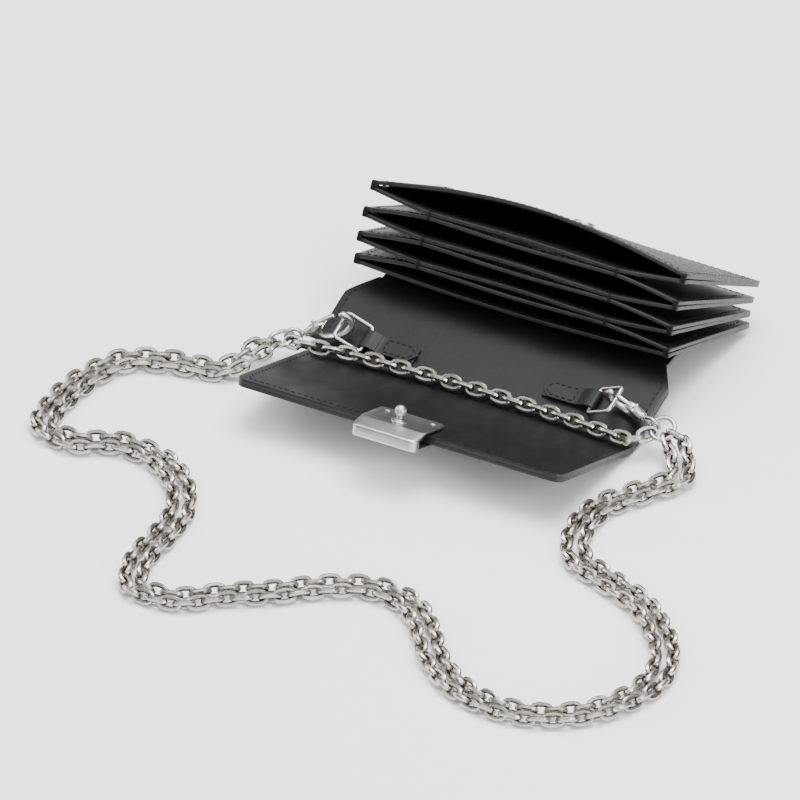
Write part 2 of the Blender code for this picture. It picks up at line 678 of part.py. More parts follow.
def make_lobster(word, bar_centre, nose_direction, face, eye_roll):
    """Hook, gate, pin and eye. The bar it holds lies at the nose end of the hook's opening."""
    axis_matrix = frame_matrix((0, 0, 0), nose_direction, face)
    nose = axis_matrix.to_3x3() @ Vector((1, 0, 0))
    axis_matrix.translation = bar_centre - (HOOK_INNER_LENGTH - D_WIRE - HOOK_PLAY) * nose
    axis = empty(f"lobster_{word}_axis", axis_matrix)

    pivot = [(a + b) / 2 for a, b in zip(hook_point(0, GATE_PIVOT), hook_point(0, GATE_PIVOT, True))]
    body = outline_object(f"lobster_{word}_body", oval_band(NOSE_END, HEEL_END, 34), HOOK_THICKNESS)
    finish(body, *NICKEL, parent=axis)
    slot = box_object(f"gate_slot_{word}", (GATE_SLOT_LENGTH, GATE_SLOT_DEPTH, GATE_THICKNESS + 2 * GAP),
                      (pivot[0], pivot[1], 0))
    pin_hole = rod_object(f"pin_hole_{word}", GATE_PIN + PIN_CLEARANCE / 2, 2 * HOOK_THICKNESS,
                          Matrix.Translation((*pivot, 0)), 12)
    lengthwise = Matrix.Rotation(math.pi / 2, 4, "Y")
    wall = HOOK_HALF_LENGTH - HOOK_INNER_LENGTH
    stem_middle = -(HOOK_HALF_LENGTH + HOOK_INNER_LENGTH) / 2
    stem_hole = rod_object(f"stem_hole_{word}", STEM_RADIUS + PIN_CLEARANCE, wall + 2 * CUT_OVERRUN,
                           Matrix.Translation((stem_middle, 0, 0)) @ lengthwise)
    for cutter in (slot, pin_hole, stem_hole):
        make_cutter(cutter).parent = axis
        add_boolean(body, cutter)

    gate_axis = empty(f"lobster_{word}_gate_axis", Matrix.Translation((*pivot, 0)), axis)
    band = oval_band(GATE_START, GATE_END, 9, GAP)
    outline = [(x - pivot[0], y - pivot[1]) for x, y in band]
    gate = outline_object(f"lobster_{word}_gate", outline, GATE_THICKNESS,
                          [(0, 0, GATE_PIN + PIN_CLEARANCE / 2)])
    finish(gate, *NICKEL, parent=gate_axis)
    pin = rod_object(f"lobster_{word}_pin", GATE_PIN, HOOK_THICKNESS, Matrix.Identity(4), 12)
    finish(pin, *STEEL, parent=gate_axis)

    eye_x = -(HOOK_HALF_LENGTH + EYE_NECK + EYE_RADIUS)
    swivel = empty(f"lobster_{word}_swivel_axis", Matrix.Rotation(eye_roll, 4, "X"), axis)
    eye = torus_mesh(f"lobster_{word}_eye", EYE_RADIUS, EYE_WIRE, 20, 8)
    eye.data.transform(Matrix.Translation((eye_x, 0, 0)))
    stem_start = -(HOOK_HALF_LENGTH + EYE_NECK + EYE_WIRE / 2)
    stem_end = -HOOK_INNER_LENGTH + STEM_HEAD_SETBACK + STEM_HEAD_LENGTH
    stem = rod_object(f"stem_{word}", STEM_RADIUS, stem_end - stem_start,
                      Matrix.Translation(((stem_start + stem_end) / 2, 0, 0)) @ lengthwise, 12)
    head = rod_object(f"stem_head_{word}", STEM_HEAD, STEM_HEAD_LENGTH,
                      Matrix.Translation((stem_end - STEM_HEAD_LENGTH / 2, 0, 0)) @ lengthwise, 12)
    for piece in (stem, head):
        make_cutter(piece).parent = swivel
        add_boolean(eye, piece, "UNION")
    finish(eye, *NICKEL, parent=swivel)

    eye_centre = axis_matrix @ Vector((eye_x, 0, 0))
    ring_normal = axis_matrix.to_3x3() @ Matrix.Rotation(eye_roll, 3, "X") @ Vector((0, 1, 0))
    ring = torus_mesh(f"ring_{word}", RING_RADIUS, RING_WIRE, 24, 8)
    finish(ring, *STEEL)
    ring.matrix_local = frame_matrix(eye_centre - RING_RADIUS * nose, nose, ring_normal)


def make_clips():
    sides = (("left", -1, TAB_LEFT, NOSE_LEFT, FACE_LEFT, 0.0),
             ("right", 1, TAB_RIGHT, NOSE_RIGHT, FACE_RIGHT, 0.0))
    for word, sign, (x, y), nose, face, roll in sides:
        outer_bar = make_tab_and_ring(word, sign, x, y)
        make_lobster(word, outer_bar, nose, face, roll)


def smooth_curve(points, step):
    """Even points, about step apart, on a smooth curve through the given ones."""
    dense = [smooth_point(points, index / 600) for index in range(601)]
    lengths = [0.0]
    for first, second in zip(dense, dense[1:]):
        lengths.append(lengths[-1] + (second - first).length)
    count = max(2, round(lengths[-1] / step))
    even = []
    index = 0
    for number in range(count + 1):
        target = lengths[-1] * number / count
        while index < len(lengths) - 2 and lengths[index + 1] < target:
            index += 1
        share = (target - lengths[index]) / (lengths[index + 1] - lengths[index])
        even.append(dense[index].lerp(dense[index + 1], share))
    return even


def beside(points, offset):
    """The same route moved sideways in plan."""
    moved = []
    for index, point in enumerate(points):
        ahead = points[min(index + 1, len(points) - 1)] - points[max(index - 1, 0)]
        side = Vector((-ahead.y, ahead.x, 0)).normalized()
        moved.append(point + offset * side)
    return moved


def make_chain():
    route = [Vector(point) * MM for point in LONG_ROUTE]
    middle = smooth_curve(route, CHAIN_STEP * CHAIN_DIAMETER)
    for word, sign in (("a", 1), ("b", -1)):
        strand = tube(f"chain_long_{word}", beside(middle, sign * STRAND_SPACING / 2), CHAIN_DIAMETER / 2)
        finish(strand, *STEEL)
    short = smooth_curve([Vector(point) * MM for point in SHORT_ROUTE], CHAIN_STEP * CHAIN_DIAMETER)
    finish(tube("chain_short", short, CHAIN_DIAMETER / 2), *STEEL)


def stand_on_origin():
    """Moves the layout so that the leather body's box stands on the world origin."""
    bpy.context.view_layer.update()
    depsgraph = bpy.context.evaluated_depsgraph_get()
    corners = []
    for item in PARTS.objects:
        if item.type not in {"MESH", "CURVE"} or item.name.startswith(ON_THE_CHAIN):
            continue
        solid = item.evaluated_get(depsgraph)
        mesh = solid.to_mesh()
        corners += [item.matrix_world @ vertex.co for vertex in mesh.vertices]
        solid.to_mesh_clear()
    low = [min(corner[axis] for corner in corners) for axis in range(3)]
    high = [max(corner[axis] for corner in corners) for axis in range(3)]
    LAYOUT.location = (-(low[0] + high[0]) / 2, -(low[1] + high[1]) / 2, -low[2])


make_clips()
make_chain()
stand_on_origin()
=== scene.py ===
"""The looks of the chain wallet: leather, stitching, brushed nickel and a chain of real links."""

import json
import random
from math import asin, atan2, ceil, cos, degrees, exp, hypot, pi, radians, sin, sqrt, tan

import bmesh
import bpy
from mathutils import Matrix, Vector


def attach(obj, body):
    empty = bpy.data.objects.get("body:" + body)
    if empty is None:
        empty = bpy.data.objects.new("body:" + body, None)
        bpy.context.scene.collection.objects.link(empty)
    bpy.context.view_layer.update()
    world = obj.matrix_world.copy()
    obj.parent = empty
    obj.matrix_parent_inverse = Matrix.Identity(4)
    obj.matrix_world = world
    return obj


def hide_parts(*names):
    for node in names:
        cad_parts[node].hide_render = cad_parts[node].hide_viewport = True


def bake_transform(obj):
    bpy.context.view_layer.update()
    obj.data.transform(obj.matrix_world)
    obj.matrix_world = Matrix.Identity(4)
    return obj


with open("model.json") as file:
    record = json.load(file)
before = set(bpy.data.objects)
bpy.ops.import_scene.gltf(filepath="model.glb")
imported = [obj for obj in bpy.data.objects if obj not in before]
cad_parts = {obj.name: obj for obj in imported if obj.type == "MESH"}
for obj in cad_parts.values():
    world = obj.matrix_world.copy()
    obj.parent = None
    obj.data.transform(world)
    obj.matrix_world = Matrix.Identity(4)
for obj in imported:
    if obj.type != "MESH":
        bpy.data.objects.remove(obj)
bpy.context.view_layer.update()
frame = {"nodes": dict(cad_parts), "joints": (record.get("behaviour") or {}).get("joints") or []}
MM = 0.001
JOINTS = {joint["name"]: joint for joint in frame["joints"]}


def joint_point(name):
    return Vector(JOINTS[name]["pos_m"])


def joint_axis(name):
    return Vector(JOINTS[name]["axis"])


FOLD = joint_point("flap_hinge")  # a point on the fold line; layout positions count from it


# ---------------- camera
CAMERA_AZIMUTH = radians(29.25)
CAMERA_ELEVATION = radians(33)
CAMERA_DISTANCE = 12.0
SENSOR = 36.0
FRAME_WIDTH = 0.3412  # metres across the picture at the wallet
FOLD_RIGHT = 0.0300  # the fold's middle lies this far right of the picture's centre
FOLD_UP = -0.0006


def add_object(name, data):
    item = bpy.data.objects.new(name, data)
    bpy.context.scene.collection.objects.link(item)
    return item


def make_camera():
    away = Vector((sin(CAMERA_AZIMUTH) * cos(CAMERA_ELEVATION),
                   -cos(CAMERA_AZIMUTH) * cos(CAMERA_ELEVATION), sin(CAMERA_ELEVATION)))
    right = Vector((cos(CAMERA_AZIMUTH), sin(CAMERA_AZIMUTH), 0))
    up = away.cross(right)
    aim = FOLD - FOLD_RIGHT * right - FOLD_UP * up
    data = bpy.data.cameras.new("camera")
    data.sensor_width = SENSOR
    data.lens = SENSOR * CAMERA_DISTANCE / FRAME_WIDTH
    data.clip_end = 40
    camera = add_object("camera", data)
    camera.location = aim + CAMERA_DISTANCE * away
    camera.rotation_euler = (-away).to_track_quat("-Z", "Y").to_euler()
    bpy.context.scene.camera = camera


make_camera()


# ---------------- node helpers
def fill_ramp(node, stops):
    """stops are (position, colour); a single number as the colour is a grey."""
    elements = node.color_ramp.elements
    while len(elements) < len(stops):
        elements.new(0.5)
    for element, (position, colour) in zip(elements, stops):
        element.position = position
        if not isinstance(colour, tuple):
            colour = (colour, colour, colour)
        element.color = (*colour, 1)


class Shader:
    """A new material with its Principled shader and short ways to add nodes to it."""

    def __init__(self, name, roughness, metallic=0.0, specular=0.5):
        self.material = bpy.data.materials.new(name)
        self.material.use_nodes = True
        self.tree = self.material.node_tree
        self.main = self.tree.nodes["Principled BSDF"]
        self.main.inputs["Roughness"].default_value = roughness
        self.main.inputs["Metallic"].default_value = metallic
        self.main.inputs["Specular IOR Level"].default_value = specular
        self.place = self.add("ShaderNodeTexCoord").outputs["Object"]

    def add(self, kind, **values):
        node = self.tree.nodes.new(kind)
        for key, value in values.items():
            setattr(node, key, value)
        return node

    def link(self, start, end):
        self.tree.links.new(start, end)

    def texture(self, node, stretch, **inputs):
        for name, value in inputs.items():
            node.inputs[name].default_value = value
        self.link(self.stretched(stretch), node.inputs["Vector"])
        return node.outputs

    def noise(self, scale, detail=4.0, roughness=0.55, stretch=None):
        node = self.add("ShaderNodeTexNoise")
        return self.texture(node, stretch, Scale=scale, Detail=detail, Roughness=roughness)["Fac"]

    def cells(self, scale, feature="F1"):
        return self.texture(self.add("ShaderNodeTexVoronoi", feature=feature), None, Scale=scale)["Distance"]

    def stretched(self, stretch):
        if stretch is None:
            return self.place
        node = self.add("ShaderNodeMapping")
        node.inputs["Scale"].default_value = stretch
        self.link(self.place, node.inputs["Vector"])
        return node.outputs["Vector"]

    def ramp(self, factor, stops):
        node = self.add("ShaderNodeValToRGB")
        fill_ramp(node, stops)
        self.link(factor, node.inputs["Fac"])
        return node.outputs["Color"]

    def mix(self, factor, first, second, blend="MIX"):
        node = self.add("ShaderNodeMix", data_type="RGBA", blend_type=blend)
        for socket, value in ((node.inputs[0], factor), (node.inputs[6], first), (node.inputs[7], second)):
            if isinstance(value, bpy.types.NodeSocket):
                self.link(value, socket)
            elif isinstance(value, tuple):
                socket.default_value = (*value, 1)
            else:
                socket.default_value = value
        return node.outputs[2]

    def colour(self, socket):
        self.link(socket, self.main.inputs["Base Color"])

    def rough(self, socket):
        self.link(socket, self.main.inputs["Roughness"])

    def bump(self, layers):
        """layers are (height socket, strength, distance in metres), coarse first."""
        normal = None
        for height, strength, distance in layers:
            node = self.add("ShaderNodeBump")
            node.inputs["Strength"].default_value = strength
            node.inputs["Distance"].default_value = distance
            self.link(height, node.inputs["Height"])
            if normal is not None:
                self.link(normal, node.inputs["Normal"])
            normal = node.outputs["Normal"]
        self.link(normal, self.main.inputs["Normal"])


def smooth_leather():
    shader = Shader("smooth_leather", 0.46, specular=0.2)
    pores = shader.cells(1500)
    creases = shader.cells(420, "DISTANCE_TO_EDGE")
    cloud = shader.noise(28, 5)
    fine = shader.noise(2600, 3)
    tone = shader.ramp(cloud, [(0.3, (0.0045, 0.0045, 0.005)), (0.7, (0.0085, 0.0085, 0.009))])
    tone = shader.mix(shader.ramp(fine, [(0.45, 0.0), (0.75, 1.0)]), tone, (0.014, 0.014, 0.0145))
    shader.colour(tone)
    shader.rough(shader.ramp(shader.noise(60, 6), [(0.25, 0.36), (0.8, 0.56)]))
    shader.bump([(cloud, 0.07, 0.2 * MM), (creases, 0.16, 0.05 * MM), (pores, 0.28, 0.05 * MM),
                 (fine, 0.2, 0.03 * MM)])
    return shader.material


def grained_leather():
    shader = Shader("grained_leather", 0.4, specular=0.35)
    pebbles = shader.cells(560, "DISTANCE_TO_EDGE")
    large = shader.cells(260, "SMOOTH_F1")
    fine = shader.noise(2400, 3)
    tone = shader.ramp(pebbles, [(0.02, (0.004, 0.004, 0.0045)), (0.25, (0.016, 0.016, 0.017))])
    shader.colour(tone)
    shader.rough(shader.ramp(pebbles, [(0.0, 0.62), (0.3, 0.36)]))
    shader.bump([(large, 0.5, 0.25 * MM), (shader.ramp(pebbles, [(0.0, 0.0), (0.22, 1.0)]), 0.75, 0.14 * MM),
                 (fine, 0.2, 0.03 * MM)])
    return shader.material


def edge_paint():
    shader = Shader("edge_paint", 0.34, specular=0.4)
    cloud = shader.noise(240, 5)
    shader.colour(shader.ramp(cloud, [(0.3, (0.006, 0.006, 0.0068)), (0.75, (0.014, 0.014, 0.0155))]))
    shader.rough(shader.ramp(shader.noise(500, 4), [(0.3, 0.28), (0.8, 0.5)]))
    shader.bump([(cloud, 0.3, 0.12 * MM), (shader.noise(1800, 3), 0.25, 0.03 * MM)])
    return shader.material


def thread_material():
    shader = Shader("black_thread", 0.5, specular=0.15)
    twist = shader.noise(3200, 2, stretch=(1, 0.35, 1))
    shader.colour(shader.ramp(twist, [(0.3, (0.002, 0.002, 0.0025)), (0.75, (0.008, 0.008, 0.009))]))
    shader.bump([(twist, 0.6, 0.05 * MM)])
    return shader.material


def brushed_nickel():
    shader = Shader("brushed_nickel", 0.3, metallic=1.0)
    lines = shader.noise(900, 6, 0.7, stretch=(0.03, 1, 1))
    cloud = shader.noise(90, 4)
    tone = shader.ramp(lines, [(0.3, (0.50, 0.49, 0.465)), (0.75, (0.70, 0.69, 0.665))])
    shader.colour(shader.mix(shader.ramp(cloud, [(0.35, 0.0), (0.8, 0.35)]), tone, (0.42, 0.41, 0.385)))
    shader.rough(shader.ramp(lines, [(0.3, 0.26), (0.75, 0.4)]))
    shader.bump([(lines, 0.18, 0.03 * MM), (shader.noise(1400, 3), 0.1, 0.02 * MM)])
    return shader.material


def polished_steel(name, tone, roughness):
    """Worn bright steel with painted shade: inward faces, marked by the attribute, get a dark copy of the
    tone.
    """
    shader = Shader(name, roughness, metallic=1.0)
    painted_shade = shader.add("ShaderNodeAttribute", attribute_name="painted_shade").outputs["Fac"]
    cloud = shader.noise(420, 5)
    bright = shader.ramp(cloud, [(0.3, tuple(0.86 * c for c in tone)), (0.7, tone)])
    # the dark copy of the tone that stands for painted shade
    dark = tuple(0.07 * c for c in tone)
    tarnish = shader.ramp(shader.noise(230, 5, 0.65), [(0.46, 0.0), (0.72, 0.55)])
    worn = shader.mix(tarnish, bright, tuple(0.38 * c for c in tone))
    # painted shade: where the attribute is high, the colour goes towards the dark copy of the tone
    shader.colour(shader.mix(painted_shade, worn, dark))
    shader.rough(shader.ramp(shader.noise(900, 4), [(0.3, roughness - 0.06), (0.75, roughness + 0.12)]))
    shader.bump([(cloud, 0.12, 0.06 * MM), (shader.noise(2600, 3), 0.1, 0.02 * MM)])
    return shader.material


LEATHER = smooth_leather()
GRAIN = grained_leather()
EDGE = edge_paint()
THREAD = thread_material()
NICKEL = brushed_nickel()
STEEL = polished_steel("chain_steel", (0.50, 0.475, 0.435), 0.27)
BRIGHT = polished_steel("bright_steel", (0.58, 0.565, 0.54), 0.32)


# ---------------- mesh helpers
def add_piece(name, mesh, materials, smooth_angle=None):
    piece = add_object(name, mesh)
    for material in materials:
        mesh.materials.append(material)
    if smooth_angle is not None:
        mesh.shade_smooth()
        mesh.set_sharp_from_angle(angle=radians(smooth_angle))
    return piece


def stand_for(piece, body, slot, *nodes):
    """The piece rides on the body and hides the CAD nodes that it stands for. The slot is not used."""
    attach(piece, body)
    if nodes:
        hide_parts(*nodes)


def mesh_of(shape, name):
    mesh = bpy.data.meshes.new(name)
    shape.to_mesh(mesh)
    shape.free()
    return mesh


def round_edges(piece, width, segments, limit):
    rounding = piece.modifiers.new("edges", "BEVEL")
    rounding.width = width
    rounding.segments = segments
    rounding.limit_method = "ANGLE"
    rounding.angle_limit = radians(limit)
    return rounding


def skin_rings(shape, rings, cyclic=False):
    """Faces between equal rings of vertices. An open run is closed at both ends."""
    for first, second in zip(rings, rings[1:] + (rings[:1] if cyclic else [])):
        for index in range(len(first)):
            after = (index + 1) % len(first)
            shape.faces.new((first[index], first[after], second[after], second[index]))
    if not cyclic:
        shape.faces.new(rings[0][::-1])
        shape.faces.new(rings[-1])


def apply_modifiers(piece):
    depsgraph = bpy.context.evaluated_depsgraph_get()
    mesh = bpy.data.meshes.new_from_object(piece.evaluated_get(depsgraph))
    piece.modifiers.clear()
    piece.data = mesh
    return piece


def join(piece, *others):
    """Adds the other pieces' meshes to the first one's. All lie in the row frame and share its materials."""
    shape = bmesh.new()
    shape.from_mesh(piece.data)
    for other in others:
        shape.from_mesh(other.data)
        bpy.data.objects.remove(other)
    shape.to_mesh(piece.data)
    shape.free()
    return piece


def angles_round(steps):
    return [2 * pi * step / steps for step in range(steps)]


def frame_matrix(origin, x_axis, z_hint):
    x_axis = Vector(x_axis).normalized()
    y_axis = Vector(z_hint).cross(x_axis).normalized()
    matrix = Matrix((x_axis, y_axis, x_axis.cross(y_axis))).transposed().to_4x4()
    matrix.translation = origin
    return matrix


def smooth_point(points, share):
    spans = len(points) - 1
    index = min(int(share * spans), spans - 1)
    t = share * spans - index
    before = points[index - 1] if index > 0 else 2 * points[0] - points[1]
    after = points[index + 2] if index + 2 <= spans else 2 * points[-1] - points[-2]
    start, end = points[index], points[index + 1]
    return 0.5 * (2 * start + (end - before) * t + (2 * before - 5 * start + 4 * end - after) * t ** 2
                  + (3 * start - before - 3 * end + after) * t ** 3)


def smooth_line(points, samples):
    return [smooth_point(points, index / samples) for index in range(samples + 1)]


def walk(points, step=None, count=None):
    """Even points along the polyline, about step apart, or count of them."""
    lengths = [0.0]
    for first, second in zip(points, points[1:]):
        lengths.append(lengths[-1] + (second - first).length)
    if count is None:
        count = max(2, round(lengths[-1] / step) + 1)
    even = []
    index = 0
    for number in range(count):
        target = lengths[-1] * number / (count - 1)
        while index < len(lengths) - 2 and lengths[index + 1] < target:
            index += 1
        span = max(lengths[index + 1] - lengths[index], 1e-9)
        even.append(points[index].lerp(points[index + 1], (target - lengths[index]) / span))
    return even, lengths[-1]


# ---------------- chain
HOOK_HALF = Vector((11, 6.8)) * MM
HOOK_INNER = Vector((8.1, 4.2)) * MM
EYE_RADIUS, EYE_WIRE, EYE_NECK = 3.4 * MM, 0.9 * MM, 1.6 * MM
RING_RADIUS, RING_WIRE = 5.3 * MM, 1.0 * MM
CHAIN_DIAMETER = 6.8 * MM
STRAND_SPACING = 7.4 * MM
CHAIN_STEP = 3.1
LINK_PITCH = 6.15 * MM
LINK_WIRE = 1.16 * MM
LINK_HALF_LENGTH = 4.25 * MM  # centre line of the wire
LINK_HALF_WIDTH = 2.5 * MM
LINK_STEPS = 16
WIRE_STEPS = 8
# Middle line of the two long strands, most of which lies on the table, and of the short one, in mm
# from the fold, as in the CAD
LYING_HEIGHT = 1.8
LYING_ROUTE = (
    (-99.6, -30.2), (-113.6, -34.2), (-129.6, -39.2), (-144.6, -48.2), (-150.6, -67.2), (-151.6, -91.2),
    (-147.6, -107.2), (-136.6, -114.2), (-121.6, -106.2), (-103.6, -103.2), (-87.6, -109.2),
    (-71.6, -123.2), (-63.6, -141.2), (-61.6, -162.2), (-60.6, -180.2), (-55.6, -193.2), (-44.6, -199.2),
    (-31.6, -196.2), (-18.6, -185.2), (-0.6, -173.2), (15.4, -159.2), (34.4, -149.2), (49.4, -149.2),
    (64.4, -159.2), (77.4, -174.2), (91.4, -189.2), (111.4, -200.2), (132.4, -202.2), (152.4, -195.2),
    (167.4, -177.2), (173.4, -156.2), (169.4, -136.2), (155.4, -117.2), (135.4, -101.2), (116.4, -94.2),
    (101.4, -87.2), (93, -77), (89, -58), (91, -42), (99, -29), (107, -16),
)
LONG_ROUTE = ((-93, -16.5, 7.2), (-95, -24.5, 4.8), *((x, y, LYING_HEIGHT) for x, y in LYING_ROUTE),
              (106, -3, 6), (97.5, 4, 7.5))
SHORT_ROUTE = (
    (-78, -9, 9.4), (-66, -5, 8.3), (-50, -2, 7.3), (-25, 0, 6.8), (0, 0.5, 6.7),
    (25, 0.2, 6.8), (48, -1, 7.1), (66, -3, 7.8), (79, -4, 8.4),
)


def smooth_route(route, step):
    points = [Vector(point) * MM for point in route]
    return walk(smooth_line(points, 600), step=step)[0]


def beside(points, offset):
    moved = []
    for index, point in enumerate(points):
        ahead = points[min(index + 1, len(points) - 1)] - points[max(index - 1, 0)]
        moved.append(point + offset * Vector((-ahead.y, ahead.x, 0)).normalized())
    return moved


def link_template():
    """Points, share of painted shade and faces of one link: an oval of wire with flattened outer sides."""
    places = []
    painted_shade = []
    for angle in angles_round(LINK_STEPS):
        cosine, sine = cos(angle), sin(angle)
        squared = (abs(cosine) ** 2.6 + abs(sine) ** 2.6) ** (-1 / 2.6)
        centre = Vector((LINK_HALF_LENGTH * cosine * squared, LINK_HALF_WIDTH * sine * squared, 0))
        outward = Vector((cosine * LINK_HALF_WIDTH, sine * LINK_HALF_LENGTH, 0)).normalized()
        for turn in range(WIRE_STEPS):
            around = 2 * pi * (turn + 0.5) / WIRE_STEPS
            side = cos(around)
            reach = LINK_WIRE * (1.0 if side < 0 else 0.96)
            places.append(centre + reach * side * outward + LINK_WIRE * sin(around) * Vector((0, 0, 1)))
            # painted shade, darkest on the side of the wire that faces the link's middle
            painted_shade.append(max(0.0, -side) ** 0.7)
    faces = []
    for step in range(LINK_STEPS):
        for turn in range(WIRE_STEPS):
            first = step * WIRE_STEPS + turn
            second = step * WIRE_STEPS + (turn + 1) % WIRE_STEPS
            ahead = (step + 1) % LINK_STEPS * WIRE_STEPS
            faces.append((first, second, ahead + (turn + 1) % WIRE_STEPS, ahead + turn))
    return places, painted_shade, faces


def links_along(name, path, seed):
    """Links of wire along the path, each turned a quarter from the one before."""
    draw = random.Random(seed)
    places, painted_shade, faces = link_template()
    dense = smooth_line(path, 900)
    _, length = walk(dense, count=2)
    count = round(length / LINK_PITCH)
    centres, _ = walk(dense, count=2 * count + 1)
    vertices, painted_shade_values, polygons = [], [], []
    for number in range(count):
        middle = centres[2 * number + 1]
        ahead = centres[2 * number + 2] - centres[2 * number]
        roll = radians(45 + 90 * (number % 2) + draw.uniform(-7, 7))
        jitter = Vector([draw.uniform(-0.12, 0.12) * MM for _ in range(3)])
        matrix = frame_matrix(middle + jitter, ahead, (0, 0, 1)) @ Matrix.Rotation(roll, 4, "X")
        matrix = matrix @ Matrix.Rotation(radians(draw.uniform(-2.5, 2.5)), 4, "Z")
        start = len(vertices)
        vertices += [matrix @ place for place in places]
        # painted shade of each vertex, varied a little from link to link
        painted_shade_values += [min(1.0, share * draw.uniform(0.85, 1.1)) for share in painted_shade]
        polygons += [tuple(start + corner for corner in face) for face in faces]
    mesh = bpy.data.meshes.new(name)
    mesh.from_pydata(vertices, [], polygons)
    # the painted shade goes to the mesh as an attribute that the steel's shader reads
    mesh.attributes.new("painted_shade", "FLOAT", "POINT").data.foreach_set("value", painted_shade_values)
    piece = add_piece(name, mesh, [STEEL], 30)
    return piece, length


def hook_axes(word):
    """A lobster clasp's own axes: X from its swivel to its nose, Z along the gate's hinge."""
    swivel = f"eye_{word}_swivel"
    return frame_matrix(joint_point(swivel), joint_axis(swivel), joint_axis(f"gate_{word}_hinge"))


def ring_axes(word):
    """The round ring at the end of a lobster clasp: its middle, with Z along its own axis."""
    matrix = hook_axes(word)
    turn = matrix.to_3x3()
    reach = HOOK_HALF.x + EYE_NECK + EYE_RADIUS + RING_RADIUS
    return frame_matrix(matrix @ Vector((-reach, 0, 0)), turn @ Vector((1, 0, 0)), turn @ Vector((0, 1, 0)))


def hooked(path):
    """The path with its ends carried on to the wire of the nearer ring."""
    ends = []
    for point in (path[0], path[-1]):
        axes = ring_axes("left" if (point - FOLD).x < 0 else "right")
        local = axes.inverted() @ point
        local.z = 0
        ends.append(axes @ ((RING_RADIUS - LINK_WIRE) * local.normalized()))
    return [ends[0], *path, ends[1]]


def make_chains():
    middle = smooth_route(LONG_ROUTE, CHAIN_STEP * CHAIN_DIAMETER)
    routes = [("chain_long_a", beside(middle, STRAND_SPACING / 2), 3),
              ("chain_long_b", beside(middle, -STRAND_SPACING / 2), 4),
              ("chain_short", smooth_route(SHORT_ROUTE, CHAIN_STEP * CHAIN_DIAMETER), 5)]
    for node, route, seed in routes:
        path = hooked([FOLD + point for point in route])
        piece, length = links_along(node + "_links", path, seed)
        if node == "chain_short":
            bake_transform(piece)
        else:
            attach(piece, "root")
        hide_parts(node)


make_chains()


# ---------------- leather: sizes as in the CAD
FLAP_WIDTH = 158 * MM
FLAP_LENGTH = 68 * MM
FLAP_CORNER = 5 * MM
FLAP_TILT = radians(18.8)
FLAP_THICKNESS = 3.6 * MM
FOLD_MARGIN = 2.6 * MM
FOLD_RADIUS = 1.8 * MM
SKIN = 1.78 * MM  # each of the two skins that meet at a painted seam
SKIN_RISE = 0.9 * MM
SPINE_CORNER_Y = 32 * MM
SPINE_CORNER_Z = 12 * MM
SPINE_CREST_Y = 60 * MM
SPINE_SWELL = 1 * MM
TONGUE_HALF_WIDTH = 70 * MM
CHAMFER_LENGTH = 14 * MM
POCKET_WIDTH = 154 * MM
POCKET_DEPTH = 76.5 * MM
POCKET_COUNT = 4
LEAF = 1.8 * MM
PAIR = 2.1 * MM
FAN_BASE = radians(20.1)
FAN_STEP = radians(3.6)
FAR_Y = 107.5 * MM
FAR_Z = 2.25 * MM
FAR_PITCH = 5.4 * MM
FAR_SHIFT = 0.95 * MM
MARK_X = 46 * MM
MARK_FORWARD = 1.6 * MM
MARK_UP = 1.4 * MM
CARD_SLOT = 1.6 * MM
END_CURVE = 1.25
FRONT_BOW = 9 * MM
REAR_BOW = 2.4 * MM
SPINE_TILT = atan2(SPINE_CORNER_Z, SPINE_CORNER_Y)
SPINE_RISE = Vector((0, cos(SPINE_TILT), sin(SPINE_TILT)))
SPINE_NORMAL = Vector((0, -sin(SPINE_TILT), cos(SPINE_TILT)))
SPINE_CREST_Z = FAR_Z + (FAR_Y - SPINE_CREST_Y) * tan(FAN_BASE) - REAR_BOW - PAIR - LEAF

SEAM_OVERLAP = 0.35 * MM  # the leaves of a pocket are sewn into each other at the far end
STITCH_PITCH = 3.1 * MM
STITCH_LENGTH = 2.3 * MM
STITCH_RADIUS = 0.3 * MM
THREAD_SIDES = 8
SURFACE_STEPS = 60
# Along a stitch: share of its length, and its width and depth in thread radii
STITCH_SHAPE = ((0, 0.55, -0.9), (0.14, 0.9, -0.1), (0.5, 1.0, 0.12), (0.86, 0.9, -0.1), (1, 0.55, -0.9))
STITCH_INSET = 3.2 * MM


def above(tilt):
    return Vector((0, sin(tilt), cos(tilt)))


def leather_sheet(name, place, thickness, columns, rows, face, bevel=0.4 * MM):
    """A sheet over place(across, along), both 0 to 1, with a painted rim. Its upper side is +."""
    shape = bmesh.new()
    grid = [[shape.verts.new(place(column / columns, row / rows)) for row in range(rows + 1)]
            for column in range(columns + 1)]
    for left, right in zip(grid, grid[1:]):
        for row in range(rows):
            shape.faces.new((left[row], right[row], right[row + 1], left[row + 1]))
    bmesh.ops.remove_doubles(shape, verts=shape.verts, dist=0.005 * MM)
    bmesh.ops.recalc_face_normals(shape, faces=shape.faces)
    piece = add_piece(name, mesh_of(shape, name), [face, EDGE, THREAD])
    solid = piece.modifiers.new("thickness", "SOLIDIFY")
    solid.thickness = thickness
    solid.offset = 0
    solid.use_even_offset = True
    solid.material_offset_rim = 1
    round_edges(piece, bevel, 3, 55).material = 1
    apply_modifiers(piece)
    piece.data.shade_smooth()
    return piece


def surface_line(place, corners, lift):
    """Points and normals along straight lines between (across, along) corners, lift above the sheet."""
    found = []
    for (u0, v0), (u1, v1) in zip(corners, corners[1:]):
        for step in range(SURFACE_STEPS):
            share = step / SURFACE_STEPS
            found.append((u0 + (u1 - u0) * share, v0 + (v1 - v0) * share))
    found.append(corners[-1])
    points, normals = [], []
    shift = 0.004  # how far apart the slope is measured
    for u, v in found:
        along_u = place(min(1, u + shift), v) - place(max(0, u - shift), v)
        along_v = place(u, min(1, v + shift)) - place(u, max(0, v - shift))
        normal = along_u.cross(along_v).normalized()
        if normal.z < 0:
            normal = -normal
        points.append(place(u, v) + lift * normal)
        normals.append(normal if lift > 0 else -normal)
    return points, normals


